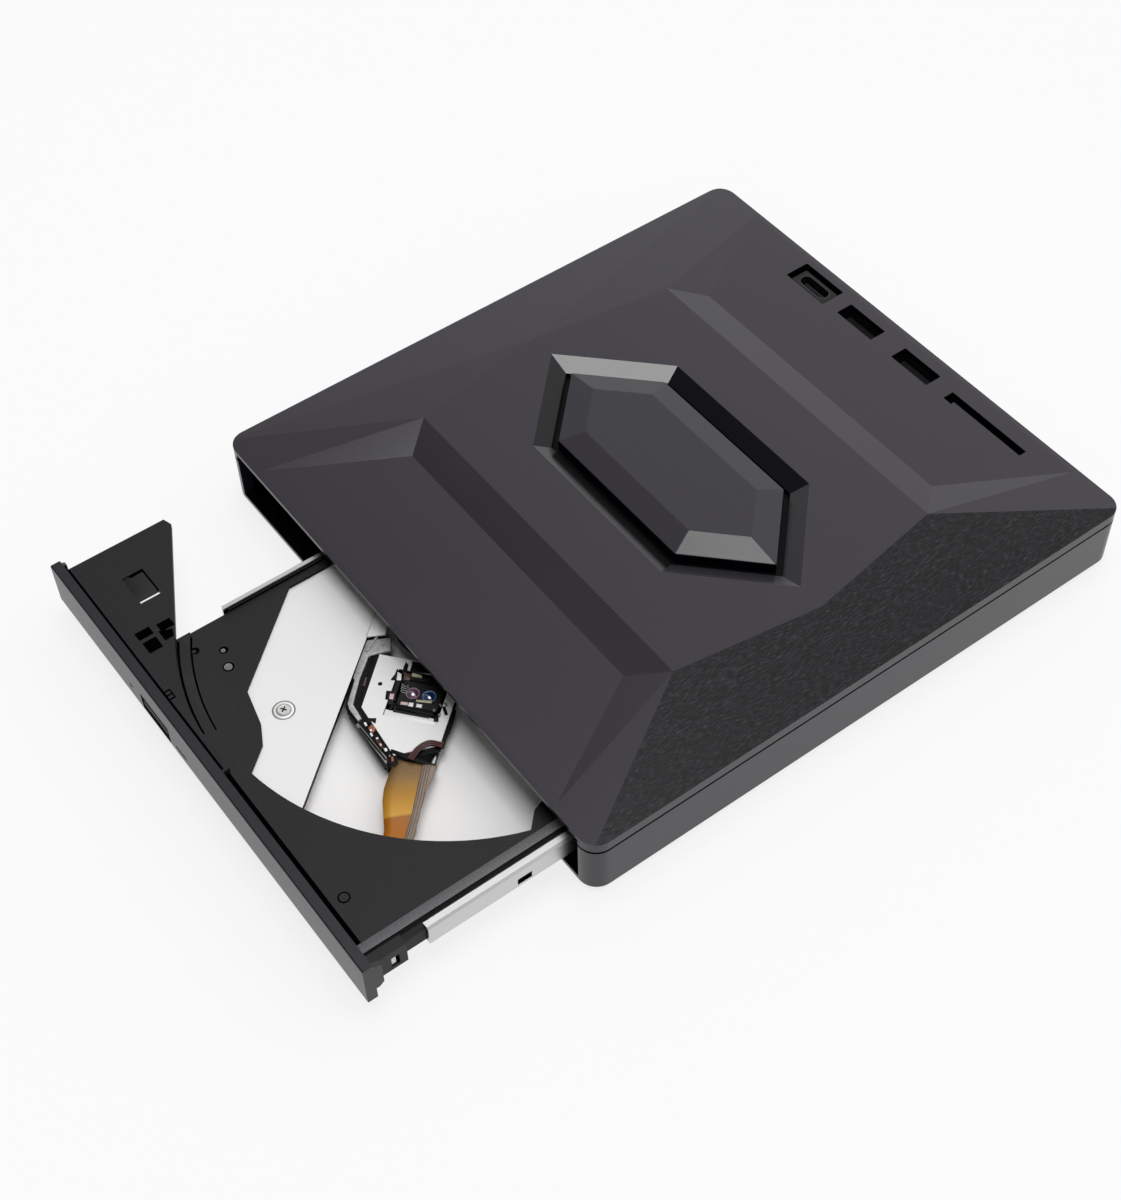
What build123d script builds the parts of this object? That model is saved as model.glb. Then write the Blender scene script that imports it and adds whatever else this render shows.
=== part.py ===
# External disc drive: a two-shell case with a faceted top, and a slim drive whose tray is drawn out.
# Millimetres. Origin: middle of the case, on the plane the feet stand on. +X right, +Y rear, +Z up.

import os
from math import cos, radians, sin, sqrt

from build123d import *

os.makedirs("parts", exist_ok=True)

# Fits
slide_gap = 0.1      # side play of anything that slides
clear = 0.3          # free space between neighbours that don't touch
bearing_gap = 0.05   # radial play of a rod or shaft in its bore

# Slim drive, which sets the size of the case round it
drive_x = 1.0
pan_w = 127.6
pan_d = 123.0
side_room = 7.2      # from the drive's side to the case's side
mouth_room = 4.4     # from the case's front edge to the drive
bay_d = 22.6         # behind the drive, for the socket board

# Case
case_w = pan_w + 2 * side_room
case_d = mouth_room + pan_d + bay_d
corner_r = 4.5
foot_h = 0.8
wall = 2.6
floor_t = 1.6
skin_t = 1.6
base_top = foot_h + 13.1
seam = 0.6
seam_in = 0.9
lip_z = base_top + seam
rim_z = foot_h + 16.2
crown = 2.3
crown_z = rim_z + crown
front_y = -case_d / 2
rear_y = case_d / 2
mouth_w = pan_w + 4.8
mouth_top = rim_z - 1.0

# Relief of the top
relief_y = 1.0
apex_x = 52.5
field_x = 46.8
field_y = 36.2
foot_x = 40.0
foot_y = 44.2
tip_x = 56.5
tip_y = 73.0

# Hexagon on the top: ring round it, hole in the ring, and the gem set in the hole
hex_end = 1.02   # length of each pointed end for its half width, one for all, so that the bevels are flat
ring_a, ring_c = 45.6, 21.3
hole_a, hole_c = 39.8, 17.2
gem_a, gem_c = 37.6, 15.7
table_a, table_c = 29.0, 9.8
ring_drop = 2.0
well_drop = 3.1
gem_edge_z = crown_z - 0.1
gem_top_z = crown_z + 1.4

# Sockets in the top, along the rear edge
port_y = rear_y - 6.4
a_plug_w, a_plug_t = 12.5, 4.8
a_port_x = (-10.2, 9.3)
card_x, card_w, card_t = 33.1, 24.3, 2.1
c_pocket_x, c_pocket_w, c_pocket_d = -27.5, 13.6, 6.8
c_block_w, c_block_d = 11.6, 4.9
c_mouth_w, c_mouth_t = 9.0, 3.2
shell_t = 0.3

# Drive chassis
pan_left, pan_right = drive_x - pan_w / 2, drive_x + pan_w / 2
pan_front = front_y + mouth_room
pan_rear = pan_front + pan_d
pan_mid = (pan_front + pan_rear) / 2
pan_z = foot_h + 3.2
sheet = 0.6
lid_top = pan_z + 10.2
lid_t = 0.5

# Tray: drawn out by this much; the closed tray's bezel stands 0.4 mm proud of the case
tray_out = 50.0
bezel_w = pan_w + 0.4
bezel_z0, bezel_z1 = foot_h + 2.75, foot_h + 14.65
bezel_t = 2.4
bezel_y = front_y - 0.4 - tray_out
tray_front = bezel_y + bezel_t + clear
tray_rear = tray_front + pan_d - 4.4
disc_x = 1.3
disc_y = front_y + 15.5
wing_top = foot_h + 12.5
deck_top = foot_h + 11.1
deck_t = 1.1
recess_top = deck_top - 0.5
ledge_r = 58.7
rim_r = 61.6
belly_z = foot_h + 4.3
belly_t = 0.6
belly_top = belly_z + belly_t

# Rails: steel channels between the tray and the chassis
rail_z0, rail_z1 = foot_h + 6.4, foot_h + 12.0
rail_sheet = 0.6
right_out = pan_right - 1.45
right_in = right_out - 1.85
left_out = -31.9
left_in = left_out + 1.25
tray_left = left_in + 0.35
tray_right = right_in - 0.7
right_rail_front = front_y - 34.3
left_rail_front = front_y - 25.0
rail_rear = tray_rear + 4.8
guide_z0, guide_z1 = rail_z0 - 0.7, rail_z1 + 0.5

# Pickup: its line of travel runs out from the disc's centre, 50 degrees right of straight forward
sled_angle = -50.0
plate_top = foot_h + 9.8
plate_t = 0.5
step_v = -18.0
lens_r = 21.7
sled_top = foot_h + 8.9
sled_z0 = belly_top + 0.5
rod_r = 1.0
rod_z = foot_h + 6.75
side_rod_r = 0.75
main_rod_v, side_rod_v = -21.5, 4.6
screw_r = 0.9
screw_v = -25.6
motor_r = 2.15
hub_r = 7.45
turntable_r = 14.5
turntable_z = foot_h + 11.45

# Eject button in the bezel
button_x, button_z = -18.2, foot_h + 6.2
button_w, button_h = 11.4, 2.6
led_x = -28.8


def disc_plane(z):
    """Level plane at height z with its origin on the disc's axis."""
    return Plane(origin=(disc_x, disc_y, z))


def sled_plane(z):
    """Level plane on the disc's axis; its x runs out along the pickup's travel."""
    along = (cos(radians(sled_angle)), sin(radians(sled_angle)), 0)
    return Plane(origin=(disc_x, disc_y, z), x_dir=along, z_dir=(0, 0, 1))


def hexagon(a, c):
    """Long hexagon: half length a, half width c, and ends of one shape for every size."""
    b = a - hex_end * c
    with BuildLine() as outline:
        Polyline((a, 0), (b, c), (-b, c), (-a, 0), (-b, -c), (b, -c), close=True)
    make_face(outline.edges())


def relief_plane(z):
    """Level plane at height z with its origin on the middle of the relief."""
    return Plane(origin=(0, relief_y, z))


def facet(p, q, r):
    """Plane through three points, facing up."""
    p, q, r = Vector(*p), Vector(*q), Vector(*r)
    normal = (q - p).cross(r - p)
    if normal.Z < 0:
        normal = normal * -1
    return Plane(origin=p, x_dir=q - p, z_dir=normal)


# Base shell: floor, three walls and two front corners, with the wide mouth for the bezel between them
post_points = [(sx * (case_w / 2 - 3.6), front_y + 6.8) for sx in (-1, 1)]
post_points += [(sx * (case_w / 2 - 7.0), rear_y - 7.5) for sx in (-1, 1)]
rest_x = pan_w / 2 - 12.8
rest_front, rest_rear = pan_front + 10.6, pan_rear - 10.4
rest_points = [(drive_x + sx * rest_x, y) for y in (rest_front, rest_rear) for sx in (-1, 1)]
hub_board_y = rear_y - 12.0
board_z = foot_h + floor_t + 1.6
with BuildPart() as base_shell:
    with BuildSketch(Plane.XY.offset(foot_h)):
        RectangleRounded(case_w, case_d, corner_r)
    extrude(amount=base_top - foot_h)
    chamfer(base_shell.faces().sort_by(Axis.Z)[0].edges(), 0.5)
    with BuildSketch(Plane.XY.offset(foot_h + floor_t)):
        RectangleRounded(case_w - 2 * wall, case_d - 2 * wall, corner_r - wall)
        with Locations((0, front_y)):
            Rectangle(mouth_w, 2 * wall + 4)
    extrude(amount=base_top, mode=Mode.SUBTRACT)
    # Four screw posts for the cover, four rests under the drive, three posts under the socket board
    with BuildSketch(Plane.XY.offset(foot_h + floor_t)):
        with Locations(*post_points):
            RegularPolygon(2.15, 16)
    extrude(amount=base_top - foot_h - floor_t)
    with BuildSketch(Plane.XY.offset(foot_h + floor_t)):
        with Locations(*rest_points):
            RegularPolygon(3.25, 16)
    extrude(amount=pan_z - foot_h - floor_t)
    with BuildSketch(Plane.XY.offset(foot_h + floor_t)):
        with Locations((-38, hub_board_y + 0.5), (0, hub_board_y - 5.5), (49, hub_board_y + 0.5)):
            RegularPolygon(2.25, 12)
    extrude(amount=board_z - foot_h - floor_t)
    # Ribs that stiffen the floor between the rests
    with BuildSketch(Plane.XY.offset(foot_h + floor_t)):
        with Locations((drive_x, rest_front), (drive_x, rest_rear)):
            Rectangle(2 * rest_x - 4, 1.2)
        with Locations((drive_x - rest_x, pan_mid), (drive_x + rest_x, pan_mid)):
            Rectangle(1.2, rest_rear - rest_front - 4)
    extrude(amount=0.9)
    # Stepped holes from below for the cover's and the drive's screws
    for radius, depth in ((1.8, 1.0), (0.85, base_top)):
        with BuildSketch(Plane.XY.offset(foot_h)):
            with Locations(*post_points, *rest_points):
                RegularPolygon(radius, 12)
        extrude(amount=depth, mode=Mode.SUBTRACT)
base_shell.part.label = "base_shell"

# Top cover: a crowned lid cut by eight planes, so that its rim is level and its middle stands higher
corner = (case_w / 2, case_d / 2)
with BuildPart() as top_cover:
    with BuildSketch(Plane.XY.offset(lip_z)):
        RectangleRounded(case_w, case_d, corner_r)
    extrude(amount=crown_z - lip_z)
    for sx in (-1, 1):
        rim_a = (sx * corner[0], front_y, rim_z)
        rim_b = (sx * corner[0], rear_y, rim_z)
        apex = (sx * apex_x, relief_y, crown_z)
        split(bisect_by=facet(rim_a, rim_b, apex), keep=Keep.BOTTOM)
        for sy in (-1, 1):
            shoulder = (sx * field_x, relief_y + sy * field_y, crown_z)
            rim_c = (sx * corner[0], sy * rear_y, rim_z)
            split(bisect_by=facet(rim_c, shoulder, apex), keep=Keep.BOTTOM)
    for sy in (-1, 1):
        rim_l = (-corner[0], sy * rear_y, rim_z)
        rim_r2 = (corner[0], sy * rear_y, rim_z)
        shoulder = (field_x, relief_y + sy * field_y, crown_z)
        split(bisect_by=facet(rim_l, rim_r2, shoulder), keep=Keep.BOTTOM)
    # Sunk fields at the front and the rear: level floors with sloped sides that run out at the rim
    for sy in (-1, 1):
        flare = (tip_x - foot_x) / (tip_y - foot_y)
        end_y = rear_y + 4
        low_x = foot_x + flare * (end_y - foot_y)
        high_x = field_x + flare * (end_y - field_y)
        with BuildSketch(Plane.XY.offset(rim_z + 0.08)):
            with BuildLine():
                Polyline((-foot_x, sy * foot_y + relief_y), (foot_x, sy * foot_y + relief_y),
                         (low_x, sy * end_y + relief_y), (-low_x, sy * end_y + relief_y), close=True)
            make_face()
        with BuildSketch(Plane.XY.offset(crown_z)):
            with BuildLine():
                Polyline((-field_x, sy * field_y + relief_y), (field_x, sy * field_y + relief_y),
                         (high_x, sy * end_y + relief_y), (-high_x, sy * end_y + relief_y), close=True)
            make_face()
        loft(ruled=True, mode=Mode.SUBTRACT)
    # Bevelled ring and sunk seat of the hexagon
    with BuildSketch(relief_plane(crown_z - ring_drop)):
        hexagon(hole_a, hole_c)
    with BuildSketch(relief_plane(crown_z)):
        hexagon(ring_a, ring_c)
    loft(ruled=True, mode=Mode.SUBTRACT)
    with BuildSketch(relief_plane(crown_z - well_drop)):
        hexagon(hole_a, hole_c)
    extrude(amount=well_drop, mode=Mode.SUBTRACT)
    # Hollow underside, leaving the skin and the side lips
    with BuildSketch(Plane.XY.offset(lip_z)):
        RectangleRounded(case_w - 2 * wall, case_d - 2 * wall, corner_r - wall)
    extrude(amount=rim_z - skin_t - lip_z, mode=Mode.SUBTRACT)
    with BuildSketch(Plane.XY.offset(lip_z)):
        with Locations((0, front_y)):
            Rectangle(mouth_w, 2 * wall + 4)
    extrude(amount=mouth_top - lip_z, mode=Mode.SUBTRACT)
    # Inner rebate wall that reaches down into the base and makes the dark seam line
    with BuildSketch(Plane.XY.offset(base_top)):
        RectangleRounded(case_w - 2 * seam_in, case_d - 2 * seam_in, corner_r - seam_in)
        RectangleRounded(case_w - 2 * wall, case_d - 2 * wall, corner_r - wall, mode=Mode.SUBTRACT)
        with Locations((0, front_y)):
            Rectangle(mouth_w, 2 * wall + 4, mode=Mode.SUBTRACT)
    extrude(amount=seam)
    # Screw pillars meet the base's posts
    with BuildSketch(Plane.XY.offset(base_top)):
        with Locations(*post_points):
            RegularPolygon(2.15, 16)
    extrude(amount=rim_z - skin_t - base_top + 0.2)
    with BuildSketch(Plane.XY.offset(base_top)):
        with Locations(*post_points):
            RegularPolygon(0.8, 12)
    extrude(amount=1.6, mode=Mode.SUBTRACT)
    # Openings for the sockets
    with BuildSketch(Plane.XY.offset(lip_z)):
        with Locations(*[(x, port_y) for x in a_port_x]):
            RectangleRounded(a_plug_w - 0.2, a_plug_t - 0.1, 0.3)
        with Locations((card_x, port_y)):
            RectangleRounded(card_w, card_t, 0.25)
        with Locations((card_x - card_w / 2 + 1.3, port_y - 0.5)):
            Rectangle(2.6, card_t + 0.9)
        with Locations((c_pocket_x, port_y + 0.2)):
            RectangleRounded(c_pocket_w, c_pocket_d, 0.4)
    extrude(amount=crown_z - lip_z, mode=Mode.SUBTRACT)
top_cover.part.label = "top_cover"

# Gem: hexagonal insert with a flat table and six bevels, glued into the seat
with BuildPart() as gem_insert:
    with BuildSketch(relief_plane(crown_z - well_drop)):
        hexagon(gem_a, gem_c)
    extrude(amount=gem_edge_z - crown_z + well_drop)
    with BuildSketch(relief_plane(gem_edge_z)):
        hexagon(gem_a, gem_c)
    with BuildSketch(relief_plane(gem_top_z)):
        hexagon(table_a, table_c)
    loft(ruled=True)
gem_insert.part.label = "gem_insert"

# Feet: four pads glued under the floor
with BuildPart() as feet:
    with BuildSketch():
        with GridLocations(case_w - 30, case_d - 32, 2, 2):
            Rectangle(16, 6)
    extrude(amount=foot_h)
    chamfer(feet.edges().filter_by(Axis.Z), 1.6)
feet.part.label = "feet"


def screw_set(points, z_head, shank):
    """Cross-head screws that point up from below."""
    with BuildSketch(Plane.XY.offset(z_head)) as heads:
        with Locations(*points):
            RegularPolygon(1.6, 12)
    extrude(heads.sketch, amount=0.8)
    with BuildSketch(Plane.XY.offset(z_head + 0.8)) as shanks:
        with Locations(*points):
            RegularPolygon(0.7, 10)
    extrude(shanks.sketch, amount=shank)
    with BuildSketch(Plane.XY.offset(z_head)) as crosses:
        with Locations(*points):
            Rectangle(1.6, 0.35)
            Rectangle(0.35, 1.6)
    extrude(crosses.sketch, amount=0.45, mode=Mode.SUBTRACT)


with BuildPart() as case_screws:
    screw_set(post_points, foot_h + 0.2, base_top + 1.2 - foot_h - 1.0)
case_screws.part.label = "case_screws"

with BuildPart() as drive_screws:
    screw_set(rest_points, foot_h + 0.2, pan_z + sheet - 0.05 - foot_h - 1.0)
drive_screws.part.label = "drive_screws"

# Socket board behind the drive, with its controller
board_t = 1.0
with BuildPart() as hub_board:
    with BuildSketch(Plane.XY.offset(board_z)):
        with Locations((5.5, hub_board_y)):
            RectangleRounded(96, 17.6, 1.0)
    extrude(amount=board_t)
hub_board.part.label = "hub_board"
board_top = board_z + board_t

with BuildPart() as hub_chip:
    with BuildSketch(Plane.XY.offset(board_top)):
        with Locations((-10, hub_board_y - 3)):
            Rectangle(6, 6)
        with Locations((8, hub_board_y - 3.5)):
            Rectangle(3.2, 2.5)
    extrude(amount=0.9)
hub_chip.part.label = "hub_chip"

# Upright sockets: sheet shells that open upward, each with its tongue
a_shell_top = rim_z - skin_t - 0.1
for number, x in enumerate(a_port_x, start=1):
    with BuildPart() as a_shell:
        with BuildSketch(Plane.XY.offset(board_top)):
            with Locations((x, port_y)):
                Rectangle(a_plug_w + 2 * shell_t, a_plug_t + 2 * shell_t)
        extrude(amount=a_shell_top - board_top)
        with BuildSketch(Plane.XY.offset(board_top + 0.6)):
            with Locations((x, port_y)):
                Rectangle(a_plug_w, a_plug_t)
        extrude(amount=a_shell_top, mode=Mode.SUBTRACT)
    a_shell.part.label = "usb_a_shell_%d" % number
    export_step(a_shell.part, "parts/usb_a_shell_%d.step" % number)
    with BuildPart() as a_tongue:
        with BuildSketch(Plane.XY.offset(board_top + 0.6)):
            with Locations((x, port_y)):
                Rectangle(a_plug_w, a_plug_t)
        extrude(amount=0.6)
        with BuildSketch(Plane.XY.offset(board_top + 1.2)):
            with Locations((x, port_y + 1.1)):
                Rectangle(11.2, 1.7)
        extrude(amount=7.4)
    a_tongue.part.label = "usb_a_tongue_%d" % number
    export_step(a_tongue.part, "parts/usb_a_tongue_%d.step" % number)

c_x = c_pocket_x + (c_pocket_w - c_block_w) / 2 - slide_gap
c_y = port_y + 0.2 - (c_pocket_d - c_block_d) / 2 + slide_gap
c_mouth_top = rim_z + 0.05
with BuildPart() as usb_c_block:
    with BuildSketch(Plane.XY.offset(board_top)):
        with Locations((c_x, c_y)):
            RectangleRounded(c_block_w, c_block_d, 0.4)
    extrude(amount=c_mouth_top - board_top)
    with BuildSketch(Plane.XY.offset(board_top)):
        with Locations((c_x, c_y)):
            SlotOverall(c_mouth_w + 2 * shell_t, c_mouth_t + 2 * shell_t)
    extrude(amount=c_mouth_top, mode=Mode.SUBTRACT)
usb_c_block.part.label = "usb_c_block"

with BuildPart() as usb_c_shell:
    with BuildSketch(Plane.XY.offset(board_top)):
        with Locations((c_x, c_y)):
            SlotOverall(c_mouth_w + 2 * shell_t, c_mouth_t + 2 * shell_t)
    extrude(amount=c_mouth_top - board_top)
    with BuildSketch(Plane.XY.offset(board_top + 0.8)):
        with Locations((c_x, c_y)):
            SlotOverall(c_mouth_w, c_mouth_t)
    extrude(amount=c_mouth_top, mode=Mode.SUBTRACT)
usb_c_shell.part.label = "usb_c_shell"

with BuildPart() as usb_c_tongue:
    with BuildSketch(Plane.XY.offset(board_top + 0.8)):
        with Locations((c_x, c_y)):
            Rectangle(6.6, 0.7)
    extrude(amount=c_mouth_top - 1.2 - board_top - 0.8)
usb_c_tongue.part.label = "usb_c_tongue"

with BuildPart() as card_socket:
    with BuildSketch(Plane.XY.offset(board_top)):
        with Locations((card_x, port_y)):
            Rectangle(card_w + 1.6, card_t + 1.4)
    extrude(amount=a_shell_top - board_top)
    with BuildSketch(Plane.XY.offset(board_top + 0.8)):
        with Locations((card_x, port_y)):
            Rectangle(card_w, card_t)
    extrude(amount=a_shell_top, mode=Mode.SUBTRACT)
card_socket.part.label = "card_socket"

# Drive chassis: folded pan and lid
link_x = 34.0
with BuildPart() as drive_pan:
    with BuildSketch(Plane.XY.offset(pan_z)):
        with Locations((drive_x, pan_mid)):
            Rectangle(pan_w, pan_d)
    extrude(amount=lid_top - lid_t - pan_z)
    with BuildSketch(Plane.XY.offset(pan_z + sheet)):
        with Locations((drive_x, pan_mid - sheet)):
            Rectangle(pan_w - 2 * sheet, pan_d)
    extrude(amount=lid_top, mode=Mode.SUBTRACT)
    with BuildSketch(Plane.XY.offset(pan_z)):
        with Locations(*rest_points):
            RegularPolygon(0.8, 12)
        with Locations((-46, -20), (-46, 12)):
            Rectangle(14, 3)
    extrude(amount=sheet, mode=Mode.SUBTRACT)
    with BuildSketch(Plane.XY.offset(pan_z + 1.6)):
        with Locations((link_x, pan_rear - sheet)):
            Rectangle(27, 4)
    extrude(amount=5.2, mode=Mode.SUBTRACT)
drive_pan.part.label = "drive_pan"

with BuildPart() as drive_lid:
    with BuildSketch(Plane.XY.offset(lid_top - lid_t)):
        with Locations((drive_x, pan_mid)):
            Rectangle(pan_w, pan_d)
    extrude(amount=lid_t)
    with BuildSketch(Plane.XY.offset(lid_top - 0.25)):
        with Locations((disc_x, disc_y + tray_out)):
            RegularPolygon(17, 48)
            RegularPolygon(14, 48, mode=Mode.SUBTRACT)
    extrude(amount=0.25, mode=Mode.SUBTRACT)
drive_lid.part.label = "drive_lid"

# Fixed guides: right channel on the chassis wall, left channel on a foot
right_guide_front = front_y + 12.0
guide_rear = pan_rear - 5.8
with BuildPart() as guide_right:
    with BuildSketch(Plane.XZ.offset(-right_guide_front)):
        with BuildLine():
            out_x = pan_right - sheet
            web_x = right_out + slide_gap
            Polyline((out_x, guide_z0), (out_x, guide_z1), (right_in + 0.8, guide_z1),
                     (right_in + 0.8, rail_z1 + slide_gap), (web_x, rail_z1 + slide_gap),
                     (web_x, rail_z0 - slide_gap), (right_in + 0.8, rail_z0 - slide_gap),
                     (right_in + 0.8, guide_z0), close=True)
        make_face()
    extrude(amount=-(guide_rear - right_guide_front))
guide_right.part.label = "guide_right"

left_guide_front = front_y + 15.0
with BuildPart() as guide_left:
    with BuildSketch(Plane.XZ.offset(-left_guide_front)):
        with BuildLine():
            web_x = left_out - slide_gap
            Polyline((web_x - 0.6, guide_z1), (left_in - 0.5, guide_z1),
                     (left_in - 0.5, rail_z1 + slide_gap), (web_x, rail_z1 + slide_gap),
                     (web_x, rail_z0 - slide_gap), (left_in - 0.5, rail_z0 - slide_gap),
                     (left_in - 0.5, guide_z0), (web_x, guide_z0), (web_x, pan_z + sheet),
                     (web_x - 5.0, pan_z + sheet), (web_x - 5.0, pan_z + 2 * sheet),
                     (web_x - 0.6, pan_z + 2 * sheet), close=True)
        make_face()
    extrude(amount=-(guide_rear - left_guide_front))
guide_left.part.label = "guide_left"

# Drive electronics beside the tray: board, chips and the edge connector with its mate on the socket board
with BuildPart() as drive_board:
    with BuildSketch(Plane.XY.offset(pan_z + sheet)):
        with BuildLine():
            Polyline((pan_left + 1.2, front_y + 34), (-39, front_y + 34), (-39, pan_rear - 5.4),
                     (52, pan_rear - 5.4), (52, pan_rear - 1.0), (pan_left + 1.2, pan_rear - 1.0), close=True)
        make_face()
    extrude(amount=0.5)
drive_board.part.label = "drive_board"

with BuildPart() as drive_chips:
    with BuildSketch(Plane.XY.offset(pan_z + sheet + 0.5)):
        with Locations((pan_left + 12.8, pan_rear - 34)):
            Rectangle(11, 11)
        with Locations((pan_left + 12.8, pan_rear - 56)):
            Rectangle(7, 7)
        with Locations((pan_left + 10.8, pan_rear - 18)):
            Rectangle(8, 5)
    extrude(amount=1.0)
drive_chips.part.label = "drive_chips"

with BuildPart() as drive_socket:
    with BuildSketch(Plane.XZ.offset(-(pan_rear - 0.9))):
        with Locations((link_x, pan_z + 3.6)):
            Rectangle(24, 3.2)
            Rectangle(21, 1.4, mode=Mode.SUBTRACT)
    extrude(amount=-0.9)
    with BuildSketch(Plane.XZ.offset(-(pan_rear - 4.0))):
        with Locations((link_x, pan_z + sheet + 0.5 + 2.05)):
            Rectangle(24, 4.1)
    extrude(amount=-3.1)
drive_socket.part.label = "drive_socket"

with BuildPart() as drive_plug:
    with BuildSketch(Plane.XZ.offset(-(pan_rear))):
        with Locations((link_x, pan_z + 3.6)):
            Rectangle(23.4, 3.0)
    extrude(amount=-4.2)
    with BuildSketch(Plane.XZ.offset(-(pan_rear - 0.8))):
        with Locations((link_x, pan_z + 3.6)):
            Rectangle(20.6, 1.1)
    extrude(amount=-0.8)
    with BuildSketch(Plane.XY.offset(board_top)):
        with Locations((link_x, pan_rear + 3.0)):
            Rectangle(23.4, 2.2)
    extrude(amount=pan_z + 2.2 - board_top)
drive_plug.part.label = "drive_plug"

# Rails
with BuildPart() as rail_right:
    with BuildSketch(Plane.XZ.offset(-right_rail_front)):
        with BuildLine():
            Polyline((right_in, rail_z1), (right_out - 0.5, rail_z1), (right_out, rail_z1 - 0.5),
                     (right_out, rail_z0), (right_in, rail_z0), (right_in, rail_z0 + rail_sheet),
                     (right_out - rail_sheet, rail_z0 + rail_sheet),
                     (right_out - rail_sheet, rail_z1 - rail_sheet), (right_in, rail_z1 - rail_sheet),
                     close=True)
        make_face()
    extrude(amount=-(rail_rear - right_rail_front))
    with BuildSketch(Plane.YZ.offset(right_out + 1)):
        with Locations((right_rail_front + 23.2, rail_z0 + 1.7), (right_rail_front + 70, rail_z0 + 1.7)):
            Rectangle(3.2, 1.3)
    extrude(amount=-3, mode=Mode.SUBTRACT)
rail_right.part.label = "rail_right"

with BuildPart() as rail_left:
    with BuildSketch(Plane.XZ.offset(-left_rail_front)):
        with BuildLine():
            Polyline((left_in, rail_z1), (left_out + 0.3, rail_z1), (left_out, rail_z1 - 0.3),
                     (left_out, rail_z0), (left_in, rail_z0), (left_in, rail_z0 + 0.5),
                     (left_out + 0.5, rail_z0 + 0.5), (left_out + 0.5, rail_z1 - 0.5),
                     (left_in, rail_z1 - 0.5), close=True)
        make_face()
    extrude(amount=-(rail_rear - left_rail_front))
rail_left.part.label = "rail_left"

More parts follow.
